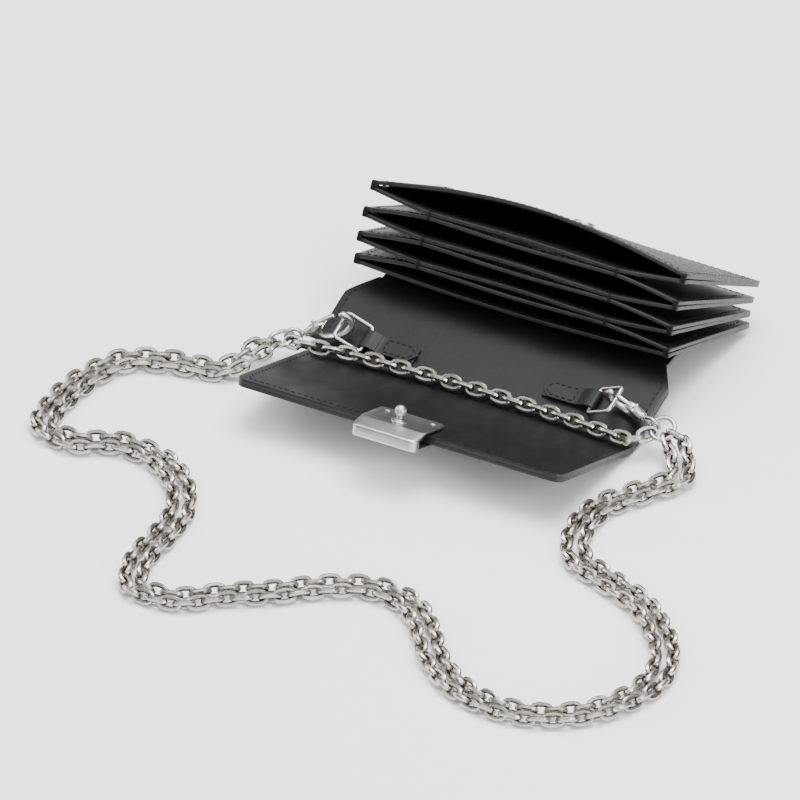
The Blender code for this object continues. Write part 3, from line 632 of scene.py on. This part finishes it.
def stitches(name, points, normals, seed=1):
    """A row of thread stitches along the points, each sunk a little at its ends."""
    draw = random.Random(seed)
    dense, length = walk(points, step=0.25 * MM)
    count = max(1, round(length / STITCH_PITCH))
    shape = bmesh.new()
    for number in range(count):
        middle = (number + 0.5) / count * (len(dense) - 1)
        half = STITCH_LENGTH / 2 / length * (len(dense) - 1)
        start = dense[max(0, round(middle - half))]
        end = dense[min(len(dense) - 1, round(middle + half))]
        place = normals[min(len(normals) - 1, round((number + 0.5) / count * (len(normals) - 1)))]
        along = end - start
        if along.length < 0.5 * STITCH_LENGTH:
            continue
        matrix = frame_matrix(start, along, place)
        matrix = matrix @ Matrix.Rotation(radians(draw.uniform(3, 9)), 4, "Z")
        rings = []
        for share, width, depth in STITCH_SHAPE:
            ring = []
            for angle in angles_round(THREAD_SIDES):
                local = Vector((share * along.length, width * STITCH_RADIUS * cos(angle),
                                width * 0.8 * STITCH_RADIUS * sin(angle) + depth * STITCH_RADIUS))
                ring.append(shape.verts.new(matrix @ local))
            rings.append(ring)
        skin_rings(shape, rings)
    for face in shape.faces:
        face.material_index = 2
        face.smooth = True
    bmesh.ops.recalc_face_normals(shape, faces=shape.faces)
    return add_piece(name, mesh_of(shape, name), [])


def stitched(piece, place, thickness, lines):
    """lines are (corners, side): side is 1 for the upper face and -1 for the lower."""
    rows = []
    for number, (corners, side) in enumerate(lines):
        points, normals = surface_line(place, corners, side * thickness / 2)
        rows.append(stitches(f"{piece.name}_row_{number}", points, normals, number))
    return join(piece, *rows)


def cut_in_half(piece, name, side):
    """The half of the piece with side * x above zero, closed at the cut."""
    shape = bmesh.new()
    shape.from_mesh(piece.data)
    plane = {"plane_co": (0, 0, 0), "plane_no": (-side, 0, 0)}
    cut = bmesh.ops.bisect_plane(shape, geom=shape.verts[:] + shape.edges[:] + shape.faces[:],
                                 clear_outer=True, dist=0.001 * MM, **plane)
    edges = [item for item in cut["geom_cut"] if isinstance(item, bmesh.types.BMEdge)]
    bmesh.ops.holes_fill(shape, edges=[edge for edge in edges if edge.is_boundary])
    return add_piece(name, mesh_of(shape, name), piece.data.materials, 60)


# ---------------- pockets
def far_end(level):
    return Vector((0, FAR_Y + FAR_SHIFT * level ** 2, FAR_Z + FAR_PITCH * level))


def mouth_end(level):
    tilt = FAN_BASE + FAN_STEP * level
    return far_end(level) + POCKET_DEPTH * Vector((0, -cos(tilt), sin(tilt)))


def mark_point(level):
    return (mouth_end(level) + mouth_end(level + 1)) / 2 + Vector((0, -MARK_FORWARD, MARK_UP))


def mark_share(x):
    outside = max(0.0, abs(x) - MARK_X) / (POCKET_WIDTH / 2 - MARK_X)
    return 1 - outside ** END_CURVE


def slot_bulge(x):
    return CARD_SLOT / 2 * cos(min(1.0, abs(x) / MARK_X) * pi / 2) ** 2


def leaf_place(level, side):
    """The same surface as in the CAD: side is 1 for a pocket's upper leaf, -1 for its lower leaf."""
    normal = above(FAN_BASE + FAN_STEP * level)
    far = far_end(level) + side * (LEAF / 2 - SEAM_OVERLAP) * normal

    def mouth(x):
        end = mouth_end(level) + side * PAIR / 2 * normal
        bow = cos(pi * x / POCKET_WIDTH)
        if side > 0 and level == POCKET_COUNT - 1:
            return end + FRONT_BOW * bow * normal
        if side < 0 and level == 0:
            return end - REAR_BOW * bow * normal
        joined = mark_point(level if side > 0 else level - 1)
        joined = joined - side * (PAIR / 2 + slot_bulge(x)) * normal
        return end.lerp(joined, mark_share(x))

    def place(across, along):
        x = (across - 0.5) * POCKET_WIDTH
        point = mouth(x).lerp(far, along)
        point.x = x
        return FOLD + point

    return place


POCKET_BODIES = ("root", "panel_3", "panel_2", "panel_1", "front_panel")


def make_pockets():
    inset_u = STITCH_INSET / POCKET_WIDTH
    inset_v = STITCH_INSET / POCKET_DEPTH
    u_low, u_high, v_low, v_high = inset_u, 1 - inset_u, inset_v, 1 - inset_v
    for level in range(POCKET_COUNT):
        number = POCKET_COUNT - level
        for side, word in ((1, "upper"), (-1, "lower")):
            node = f"pocket_{number}_{word}"
            place = leaf_place(level, side)
            front = (number, side) == (1, 1)
            leaf = leather_sheet(node + "_leather", place, LEAF, 96, 20, GRAIN if front else LEATHER)
            edge_lines = [([(u_low, v_high), (u_low, v_low), (u_high, v_low), (u_high, v_high)], side)]
            edge_lines.append(([(u_low, v_low), (u_high, v_low)], -side))
            if side > 0:
                edge_lines[0][0].append((u_low, v_high))
            leaf = stitched(leaf, place, LEAF, edge_lines)
            slot = "grained_leather" if front else "black_leather"
            body = POCKET_BODIES[level + (1 if side > 0 else 0)]
            if side < 0:
                stand_for(leaf, body, slot, node)
                continue
            for sign, end in ((-1, "left"), (1, "right")):
                half = cut_in_half(leaf, f"{node}_leather_{end}", sign)
                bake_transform(half)
                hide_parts(node)
            bpy.data.objects.remove(leaf)


make_pockets()


# ---------------- spine, fold and flap
def spine_route(offset, has_tongue):
    reach = hypot(SPINE_CORNER_Y, SPINE_CORNER_Z)
    route = [distance * SPINE_RISE + offset * SPINE_NORMAL for distance in (FOLD_MARGIN, reach / 2, reach)]
    crest = Vector((0, SPINE_CREST_Y, SPINE_CREST_Z + offset + SKIN_RISE))
    route.append(route[-1].lerp(crest, 0.5) + Vector((0, 0, SPINE_SWELL)))
    if has_tongue:
        foot = Vector((0, FAR_Y, SKIN / 2 - FOLD_RADIUS))
        route += [crest, crest.lerp(foot, 0.5), foot]
    return route


def spine_half_width(y):
    share = min(1.0, max(0.0, (y - SPINE_CORNER_Y) / CHAMFER_LENGTH))
    return FLAP_WIDTH / 2 + (TONGUE_HALF_WIDTH - FLAP_WIDTH / 2) * share


def spine_place(offset, has_tongue, inset=0.0):
    route = spine_route(offset, has_tongue)

    def place(across, along):
        point = smooth_point(route, along)
        point.x = (2 * across - 1) * (spine_half_width(point.y) - inset)
        return FOLD + point

    return place


def make_spine():
    for node, offset, has_tongue, side in (("spine_outer", -SKIN_RISE, True, -1),
                                           ("spine_lining", SKIN_RISE, False, 1)):
        place = spine_place(offset, has_tongue)
        skin = leather_sheet(node + "_leather", place, SKIN, 40, 60, LEATHER)
        inner = spine_place(offset, has_tongue, STITCH_INSET)
        lines = [([(end, 0.02), (end, 0.985)], side) for end in (0, 1)]
        stand_for(stitched(skin, inner, SKIN, lines), "root", "black_leather", node)


FLAP_AXES = frame_matrix(FOLD, (-1, 0, 0), above(FLAP_TILT))
CLASP_FRONT = FLAP_LENGTH + 13 * MM
CLASP_BACK = CLASP_FRONT - 28 * MM
CLASP_HALF_WIDTH = 15.5 * MM
CLASP_HALF_HEIGHT = 3.7 * MM
CLASP_WALL = 1.6 * MM
CLASP_PLATE = 1.0 * MM  # the folded metal's own thickness
CLASP_CORNER = 3.2 * MM
SOCKET_SHARE = 0.72  # how far down the front panel the socket sits
FLAP_TONGUE_HALF = 13 * MM


def flap_place(z, inset=0.0):
    """Straight up to the corners, which are round."""
    def place(across, along):
        straight = FLAP_LENGTH - FLAP_CORNER
        if along < 0.8:
            y = FOLD_MARGIN + (straight - FOLD_MARGIN) * along / 0.8
            half = FLAP_WIDTH / 2
        else:
            angle = pi / 2 * (along - 0.8) / 0.2
            y = straight + FLAP_CORNER * sin(angle)
            half = FLAP_WIDTH / 2 - FLAP_CORNER * (1 - cos(angle))
        shrink = 1 - inset / (FLAP_WIDTH / 2)
        y = FOLD_MARGIN + (y - FOLD_MARGIN) * (1 - inset / (FLAP_LENGTH - FOLD_MARGIN))
        return FLAP_AXES @ Vector(((2 * across - 1) * half * shrink, y, z))

    return place


def make_flap():
    for node, side, covered in (("flap_outer", -1, ("flap_outer", "flap_stiffener")),
                                ("flap_lining", 1, ("flap_lining",))):
        skin = leather_sheet(node + "_leather", flap_place(side * SKIN_RISE), SKIN, 60, 50, LEATHER)
        inner = flap_place(side * SKIN_RISE, STITCH_INSET)
        clasp = CLASP_HALF_WIDTH / FLAP_WIDTH + 0.02
        lines = [([(end, 0.02), (end, 0.98), (end, 1), (0.5 + side_of * clasp, 1)], side)
                 for end, side_of in ((0, -1), (1, 1))]
        stand_for(stitched(skin, inner, SKIN, lines), "flap", "black_leather", *covered)

    def tongue_place(across, along):
        y = FLAP_LENGTH - 6 * MM + (CLASP_FRONT - CLASP_WALL - 0.4 * MM - FLAP_LENGTH + 6 * MM) * along
        return FLAP_AXES @ Vector(((2 * across - 1) * FLAP_TONGUE_HALF, y, 0))

    tongue = leather_sheet("flap_tongue_leather", tongue_place, FLAP_THICKNESS - 0.1 * MM, 8, 6, LEATHER)
    stand_for(tongue, "flap", "black_leather")


def make_fold():
    """The leather that bends between spine and flap, its ends tucked into both."""
    reach = FOLD_MARGIN + 0.5 * MM
    front = FLAP_AXES.to_3x3() @ Vector((0, reach, 0))
    back = reach * SPINE_RISE

    def place(across, along):
        point = front * (1 - along) ** 2 + back * along ** 2
        point.x = (2 * across - 1) * (FLAP_WIDTH / 2 - 0.05 * MM)
        return FOLD + point

    strip = leather_sheet("fold_leather", place, FLAP_THICKNESS - 0.06 * MM, 40, 16, LEATHER)
    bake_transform(strip)
    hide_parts("fold_strip")


make_spine()
make_flap()
make_fold()


# ---------------- metal: clasp, stud, rivets and socket
def lofted(name, sections, materials, cyclic=False, smooth_angle=35):
    """Skins a run of equal rings of points; each ring is one section."""
    shape = bmesh.new()
    rings = [[shape.verts.new(point) for point in section] for section in sections]
    skin_rings(shape, rings, cyclic)
    bmesh.ops.recalc_face_normals(shape, faces=shape.faces)
    return add_piece(name, mesh_of(shape, name), materials, smooth_angle)


AXIS_RADIUS = 0.004 * MM  # stands in for zero where a profile meets its axis


def turned(name, profile, matrix, material, steps=48, smooth_angle=38):
    """A closed profile of (radius, height) points in mm, turned about the matrix's Z."""
    wide = [(max(radius * MM, AXIS_RADIUS), height * MM) for radius, height in profile]
    sections = [[matrix @ Vector((radius * cos(angle), radius * sin(angle), height))
                 for radius, height in wide] for angle in angles_round(steps)]
    return lofted(name, sections, [material], cyclic=True, smooth_angle=smooth_angle)


def rounded(points, radius, steps=4, closed=True):
    """The polygon's corners replaced by arcs of about the radius."""
    found = []
    count = len(points)
    for index, corner in enumerate(points):
        if not closed and index in (0, count - 1):
            found.append(Vector(corner))
            continue
        corner = Vector(corner)
        before = Vector(points[index - 1]) - corner
        after = Vector(points[(index + 1) % count]) - corner
        reach = min(radius, before.length * 0.48, after.length * 0.48)
        start, end = corner + reach * before.normalized(), corner + reach * after.normalized()
        for step in range(steps + 1):
            t = step / steps
            found.append((1 - t) ** 2 * start + 2 * t * (1 - t) * corner + t ** 2 * end)
    return found


def rectangle(half_x, half_y):
    return [(-half_x, -half_y), (half_x, -half_y), (half_x, half_y), (-half_x, half_y)]


def make_clasp():
    top, wall = CLASP_HALF_HEIGHT, CLASP_WALL
    back, front = CLASP_BACK, CLASP_FRONT
    plate, corner = CLASP_PLATE, CLASP_CORNER
    outer = [(back, top), (front - 8.2 * MM, top), (front - 0.35 * MM, top - 2.2 * MM),
             (front, top - 2.6 * MM), (front, -top + 0.5 * MM), (front - 0.9 * MM, -top), (back, -top)]
    inner = [(back, plate - top), (front - wall, plate - top), (front - wall, top - plate - 1.7 * MM),
             (front - 8.6 * MM, top - plate), (back, top - plate)]
    ring = rounded(outer, 0.4 * MM, 3, closed=False) + [Vector(point) for point in inner]
    stations = {0.0}
    for step in range(13):
        x = round(CLASP_HALF_WIDTH - corner * (1 - sin(pi / 2 * step / 12)), 6)
        stations |= {x, -x}
    sections = []
    for x in sorted(stations):
        near = max(0.0, abs(x) - (CLASP_HALF_WIDTH - corner)) / corner
        pull = corner * (1 - sqrt(max(0.0, 1 - near ** 2)))
        chamfer = max(0.0, abs(x) - (CLASP_HALF_WIDTH - 1.8 * MM))
        section = []
        for y, z in ring:
            share = max(0.0, (y - (back + 10 * MM)) / (front - back - 10 * MM))
            shift = -pull * share
            if y < back + 0.1 * MM:
                shift += chamfer
            section.append(FLAP_AXES @ Vector((x, y + shift, z)))
        sections.append(section)
    cap = lofted("clasp_cap_metal", sections, [NICKEL], smooth_angle=28)
    round_edges(cap, 0.16 * MM, 2, 50)
    apply_modifiers(cap)
    cap.data.shade_smooth()
    cap.data.set_sharp_from_angle(angle=radians(28))
    stand_for(cap, "flap", "satin_nickel", "clasp_cap")


# Profiles that are turned into small metal parts: (radius, height) in mm
STUD_FOOT = [(1.4, 1.45), (2, 1.2), (2.3, 1), (2.35, 0.85), (3, 0.75), (3.3, 0.6), (3.4, 0.4), (3.4, 0.06),
             (3.3, 0), (0, 0)]
RIVET_HEAD = [(0, 0.42), (0.6, 0.38), (1.05, 0.26), (1.3, 0.08), (1.32, -0.1), (0, -0.1)]
SOCKET = [(2.95, 2), (3.2, 2.1), (4.1, 2.1), (4.6, 1.95), (4.8, 1.6), (4.85, 0.85), (5.3, 0.7), (5.8, 0.62),
          (6, 0.4), (6, -0.2), (0, -0.2), (0, 0.25), (2.95, 0.25)]
HOOK_NECK = [(0, 1.8), (1.9, 1.8), (1.85, 0.5), (1.5, -0.1), (1.35, -0.25), (0, -0.25)]
EYE_STEM = [(0, -0.28), (0.9, -0.28), (0.95, -0.32), (1.3, -0.55), (1.35, -1), (1.1, -1.5), (0, -1.7)]
THUMB = [(0, 1.6), (0.35, 1.5), (0.6, 1.15), (0.68, 0.7), (0.6, 0.2), (0.6, -1.2), (0, -1.2)]


def ball_profile(radius, centre, low, steps=18):
    """From the top of a ball down to the ring of radius low."""
    drop = asin(low / radius)
    angles = [(pi - drop) * step / steps for step in range(steps + 1)]
    return [(radius * sin(angle), centre + radius * cos(angle)) for angle in angles]


def make_clasp_fittings():
    middle = (CLASP_FRONT + CLASP_BACK) / 2
    base = FLAP_AXES @ Matrix.Translation((0, middle, CLASP_HALF_HEIGHT + 0.02 * MM))
    stud = turned("clasp_stud_metal", ball_profile(2.65, 4.75, 1.4) + STUD_FOOT, base, BRIGHT)
    stand_for(stud, "flap", "satin_nickel", "clasp_stud")
    for sign, word in ((-1, "left"), (1, "right")):
        for side in (1, -1):
            matrix = FLAP_AXES @ Matrix.Translation((-sign * 11 * MM, CLASP_BACK + 3.2 * MM, 0))
            if side < 0:
                matrix = matrix @ Matrix.Rotation(pi, 4, "X")
            matrix = matrix @ Matrix.Translation((0, 0, CLASP_HALF_HEIGHT))
            name = f"clasp_rivet_{word}_{'top' if side > 0 else 'under'}"
            rivet = turned(name, RIVET_HEAD, matrix, BRIGHT, 32)
            stand_for(rivet, "flap", "chain_steel", f"clasp_rivet_{word}")


def make_socket():
    place = leaf_place(POCKET_COUNT - 1, 1)
    centre = place(0.5, SOCKET_SHARE)
    along = (place(0.5, SOCKET_SHARE - 0.05) - centre).normalized()
    matrix = frame_matrix(centre, (1, 0, 0), along.cross(Vector((1, 0, 0))))
    normal = matrix.to_3x3() @ Vector((0, 0, 1))
    matrix.translation = centre + LEAF / 2 * normal
    socket = turned("snap_socket_metal", SOCKET, matrix, BRIGHT)
    stand_for(socket, "front_panel", "satin_nickel", "snap_socket")


make_clasp()
make_clasp_fittings()
make_socket()


# ---------------- tabs, D-rings and lobster clasps
TACK_REACH = 3.6 * MM  # from the mouth inwards
TACK_PITCH = 0.62 * MM
TACK_THREAD = 0.3 * MM
TACK_INSET = 0.5 * MM
TACK_CORNER = 1.1 * MM
D_WIRE = 0.95 * MM
D_LENGTH = 13 * MM
D_WIDTH = 13.6 * MM
D_CORNER = 2 * MM
D_LIFT = radians(28)
TAB_LENGTH = 25 * MM
TAB_HALF_WIDTH = 4.5 * MM
TAB_POINT = 4 * MM
TAB_SEAM = 9 * MM  # from the bar to the first row of stitches
TAB_STEPS = 120
STRAP = 1.0 * MM
STRAP_RADIUS = 1.5 * MM
TAB_CENTRE_HEIGHT = 2.3 * MM  # of the D-ring's bar above the spine's face


def wire_loop(name, points, radius, material, steps=14):
    """Round wire along a closed run of points in one plane."""
    sections = []
    count = len(points)
    normal = (points[count // 4] - points[0]).cross(points[count // 2] - points[0]).normalized()
    for index, point in enumerate(points):
        ahead = (points[(index + 1) % count] - points[index - 1]).normalized()
        side = ahead.cross(normal).normalized()
        sections.append([point + radius * (cos(angle) * side + sin(angle) * normal)
                         for angle in angles_round(steps)])
    return lofted(name, sections, [material], cyclic=True, smooth_angle=60)


def tack(name, centre, inward, turns, sign):
    """Thread wound a few times round two leaves at their mouths."""
    normal = Vector((1, 0, 0)).cross(inward).normalized()
    high = (PAIR + LEAF) / 2 + 0.1 * MM
    half = TACK_REACH / 2
    outline = rounded(rectangle(half, high), TACK_CORNER, 6)
    loops = []
    for turn in range(turns):
        middle = centre + (half - TACK_THREAD) * inward - sign * turn * TACK_PITCH * Vector((1, 0, 0))
        path = [middle + point.x * inward + point.y * normal for point in outline]
        loops.append(wire_loop(f"{name}_{turn}", path, TACK_THREAD, THREAD, 8))
    return join(loops[0], *loops[1:])


def make_tacks():
    """Thread bars at both ends of each pocket's mouth and where neighbouring pockets are joined."""
    for level in range(POCKET_COUNT):
        number = POCKET_COUNT - level
        places = [(mouth_end(level), POCKET_WIDTH / 2 - TACK_INSET, 4, level, "end")]
        if level < POCKET_COUNT - 1:
            places.append((mark_point(level), MARK_X, 2, level + 0.5, "mark"))
        for point, reach, turns, height, word in places:
            tilt = FAN_BASE + FAN_STEP * height
            inward = Vector((0, cos(tilt), -sin(tilt)))
            bars = [tack(f"pocket_{number}_{word}_tack_{sign}", FOLD + point + Vector((sign * reach, 0, 0)),
                         inward, turns, sign) for sign in (-1, 1)]
            bar = join(*bars)
            bar.name = f"pocket_{number}_{word}_tacks"
            stand_for(bar, POCKET_BODIES[ceil(height)], "black_leather")


make_tacks()


def circle(matrix, radius, steps, x=0.0):
    return [matrix @ Vector((x + radius * cos(angle), radius * sin(angle), 0))
            for angle in angles_round(steps)]


def spine_matrix(x, y):
    on_face = Vector((x, y, y * tan(SPINE_TILT)))
    lift = (FLAP_THICKNESS / 2 + TAB_CENTRE_HEIGHT) * SPINE_NORMAL
    return frame_matrix(FOLD + on_face + lift, (1, 0, 0), SPINE_NORMAL)


def make_tab(word, sign, bar):
    """A strap folded around the D-ring's bar and sewn down, its upper end cut to a point."""
    low = -STRAP_RADIUS
    seam = low + STRAP + 0.02 * MM
    thread = seam + STRAP / 2 + 0.02 * MM
    line = [Vector((-TAB_LENGTH + 1 * MM, 0, low)), Vector((-6 * MM, 0, low))]
    for step in range(17):
        angle = -pi / 2 + pi * step / 16
        line.append(Vector((STRAP_RADIUS * cos(angle), 0, STRAP_RADIUS * sin(angle))))
    line += [Vector((-2.5 * MM, 0, 1.35 * MM)), Vector((-5.5 * MM, 0, 0.2 * MM)),
             Vector((-8.5 * MM, 0, seam)), Vector((-TAB_LENGTH, 0, seam))]
    even = walk(smooth_line(line, 400), count=TAB_STEPS + 1)[0]
    turn = bar @ Matrix.Rotation(0 if sign > 0 else pi, 4, "Z")

    def half_width(point, along):
        if along < 0.5:
            return TAB_HALF_WIDTH - 0.3 * MM
        return TAB_HALF_WIDTH * min(1.0, max(0.06, (point.x + TAB_LENGTH) / TAB_POINT))

    def place(across, along, inset=0.0):
        position = along * TAB_STEPS
        index = min(int(position), TAB_STEPS - 1)
        point = even[index].lerp(even[index + 1], position - index)
        half = max(0.05 * MM, half_width(point, along) - inset)
        return turn @ Vector((point.x, (2 * across - 1) * half, point.z))

    strap = leather_sheet(f"tab_{word}_leather", place, STRAP, 12, TAB_STEPS, LEATHER, 0.25 * MM)
    points = [[], []]
    for step in range(41):
        x = -TAB_SEAM - (TAB_LENGTH - TAB_SEAM - 2 * MM) * step / 40
        reach = min(TAB_HALF_WIDTH - 1.3 * MM, (x + TAB_LENGTH - 1.6 * MM) / TAB_POINT * TAB_HALF_WIDTH)
        for side, run in zip((-1, 1), points):
            run.append(turn @ Vector((x, side * max(0.3 * MM, reach), thread)))
    normal = (turn.to_3x3() @ Vector((0, 0, 1))).normalized()
    points.append([turn @ Vector((-TAB_SEAM, y * MM / 10, thread)) for y in range(-32, 33)])
    join(strap, *[stitches(f"tab_{word}_row_{number}", run, [normal] * len(run), number)
                  for number, run in enumerate(points)])
    stand_for(strap, "root", "black_leather", f"tab_{word}")


def make_d_ring(word, sign, bar):
    swing = bar @ Matrix.Rotation(-sign * D_LIFT, 4, "Y")
    outline = rounded(rectangle(D_LENGTH / 2, D_WIDTH / 2), D_CORNER, 8)
    loop = [swing @ Vector((sign * D_LENGTH / 2 + point.x, point.y, 0)) for point in outline]
    filled = []
    for first, second in zip(loop, loop[1:] + loop[:1]):
        parts = max(1, round((second - first).length / (1.2 * MM)))
        filled += [first.lerp(second, part / parts) for part in range(parts)]
    ring = wire_loop(f"d_ring_{word}_wire", filled, D_WIRE, BRIGHT)
    stand_for(ring, f"d_ring_{word}", "chain_steel", f"d_ring_{word}")


HOOK_THICKNESS = 4 * MM
HOOK_PEAR = 2.3 * MM  # how much fuller the hook is towards its nose
EYELET_BACK = -3.4 * MM  # the opening's end towards the neck
NOSE_END, HEEL_END = radians(298), radians(600)
GATE_START, GATE_END = radians(221), radians(287)
THUMB_ANGLE = radians(236)
HOOK_SECTIONS, GATE_SECTIONS = 72, 24


def outer_line(angle):
    """The hook's pear-shaped outline, its nose at angle 0."""
    height = HOOK_HALF.y - 0.6 * MM + HOOK_PEAR * cos(angle)
    return Vector((HOOK_HALF.x * cos(angle), height * sin(angle)))


def inner_line(angle):
    middle = (HOOK_INNER.x + EYELET_BACK) / 2
    return Vector((middle + (HOOK_INNER.x - middle) * cos(angle), HOOK_INNER.y * sin(angle)))


def band_section(matrix, angle, radial, thick, steps=20, flat=2.3):
    """A rounded section across the hook's band, radial and thick are shares of its full size."""
    inner, outer = inner_line(angle), outer_line(angle)
    middle, reach = (inner + outer) / 2, (outer - inner) / 2
    ring = []
    for around in angles_round(steps):
        cosine, sine = cos(around), sin(around)
        scale = (abs(cosine) ** flat + abs(sine) ** flat) ** (-1 / flat)
        point = middle + radial * scale * cosine * reach
        ring.append(matrix @ Vector((point.x, point.y, thick * scale * sine * HOOK_THICKNESS / 2)))
    return ring


def round_end(share, length):
    """How far a rounded end has opened out at this share of the run, from 0 to 1."""
    return min(1.0, sqrt(max(0.0, share / length)))


def make_lobster(word):
    matrix = hook_axes(word)
    sections = []
    for step in range(HOOK_SECTIONS + 1):
        share = step / HOOK_SECTIONS
        angle = NOSE_END + (HEEL_END - NOSE_END) * share
        back = exp(-((degrees(angle) - 540) / 60) ** 2)  # the body is fullest by the neck
        size = max(0.1, min(round_end(share, 0.045), round_end(1 - share, 0.03)))
        sections.append(band_section(matrix, angle, size, size * (0.82 + 0.42 * back)))
    body = lofted(f"lobster_{word}_metal", sections, [BRIGHT], smooth_angle=60)
    behind = matrix @ Matrix.Translation((-HOOK_HALF.x, 0, 0)) @ Matrix.Rotation(pi / 2, 4, "Y")
    join(body, turned(f"lobster_{word}_neck", HOOK_NECK, behind, BRIGHT, 32))
    stand_for(body, "root", "satin_nickel", f"lobster_{word}_body")

    sections = []
    for step in range(GATE_SECTIONS + 1):
        share = step / GATE_SECTIONS
        angle = GATE_START + (GATE_END - GATE_START) * share
        tip = max(0.1, round_end(min(share, 1 - share), 0.08))
        sections.append(band_section(matrix, angle, tip * 0.66, tip * 0.5))
    lever = lofted(f"lobster_{word}_gate_metal", sections, [BRIGHT], smooth_angle=60)
    foot = outer_line(THUMB_ANGLE)
    outward = Vector((foot.x / HOOK_HALF.x ** 2, foot.y / HOOK_HALF.y ** 2, 0)).normalized()
    thumb_axes = outward.to_track_quat("Z", "Y").to_matrix().to_4x4()
    thumb_axes = matrix @ Matrix.Translation((foot.x, foot.y, 0)) @ thumb_axes
    join(lever, turned(f"lobster_{word}_thumb", THUMB, thumb_axes, BRIGHT, 24, 60))
    stand_for(lever, f"gate_{word}", "satin_nickel", f"lobster_{word}_gate")

    eye_x = -(HOOK_HALF.x + EYE_NECK + EYE_RADIUS)
    eye = wire_loop(f"lobster_{word}_eye_metal", circle(matrix, EYE_RADIUS, 48, eye_x), EYE_WIRE, BRIGHT)
    join(eye, turned(f"lobster_{word}_stem", EYE_STEM, behind, BRIGHT, 32))
    stand_for(eye, f"eye_{word}", "satin_nickel", f"lobster_{word}_eye")

    ring = wire_loop(f"ring_{word}_wire", circle(ring_axes(word), RING_RADIUS, 64), RING_WIRE, BRIGHT)
    stand_for(ring, "root", "chain_steel", f"ring_{word}")
    pin = frame["nodes"][f"lobster_{word}_pin"]
    for slot in pin.material_slots:
        slot.material = BRIGHT


def make_clips():
    for word, sign, x, y in (("left", -1, -56 * MM, 11 * MM), ("right", 1, 53 * MM, 15 * MM)):
        bar = spine_matrix(x, y)
        make_tab(word, sign, bar)
        make_d_ring(word, sign, bar)
        make_lobster(word)


make_clips()


# ---------------- floor and light
def make_stage():
    shader = Shader("floor", 0.9, specular=0.1)
    shader.main.inputs["Base Color"].default_value = (0.97, 0.97, 0.97, 1)
    shape = bmesh.new()
    bmesh.ops.create_grid(shape, x_segments=2, y_segments=2, size=4)
    floor = add_piece("floor", mesh_of(shape, "floor"), [shader.material])
    floor.location.z = -0.1 * MM


def area_light(name, place, size, power, target=(0, 0, 0)):
    data = bpy.data.lights.new(name, "AREA")
    data.shape = "RECTANGLE"
    data.size, data.size_y = size
    data.energy = power
    light = add_object(name, data)
    light.location = place
    light.rotation_euler = (Vector(target) - Vector(place)).to_track_quat("-Z", "Y").to_euler()


# Brightness of the room by height: dark near the floor, so that metal has something to mirror
SKY = ((0.0, 0.06), (0.45, 0.1), (0.68, 0.45), (1.0, 1.0))
SKY_STRENGTH = 2.6


def make_light():
    world = bpy.data.worlds.new("studio")
    world.use_nodes = True
    tree = world.node_tree
    place = tree.nodes.new("ShaderNodeTexCoord")
    split = tree.nodes.new("ShaderNodeSeparateXYZ")
    shade = tree.nodes.new("ShaderNodeValToRGB")
    fill_ramp(shade, [(height, (0.98 * value, 0.985 * value, value)) for height, value in SKY])
    tree.links.new(place.outputs["Generated"], split.inputs["Vector"])
    tree.links.new(split.outputs["Z"], shade.inputs["Fac"])
    tree.links.new(shade.outputs["Color"], tree.nodes["Background"].inputs["Color"])
    tree.nodes["Background"].inputs["Strength"].default_value = SKY_STRENGTH
    bpy.context.scene.world = world
    area_light("top", (0.1, 0.1, 1.3), (1.0, 0.8), 26)
    area_light("left", (-1.2, -0.2, 0.6), (0.5, 0.9), 7)
    area_light("right", (1.2, -0.5, 0.5), (0.4, 0.9), 13, (0, 0, 0.02))
    area_light("front", (0.2, -1.4, 0.7), (0.8, 0.3), 5)


make_stage()
make_light()
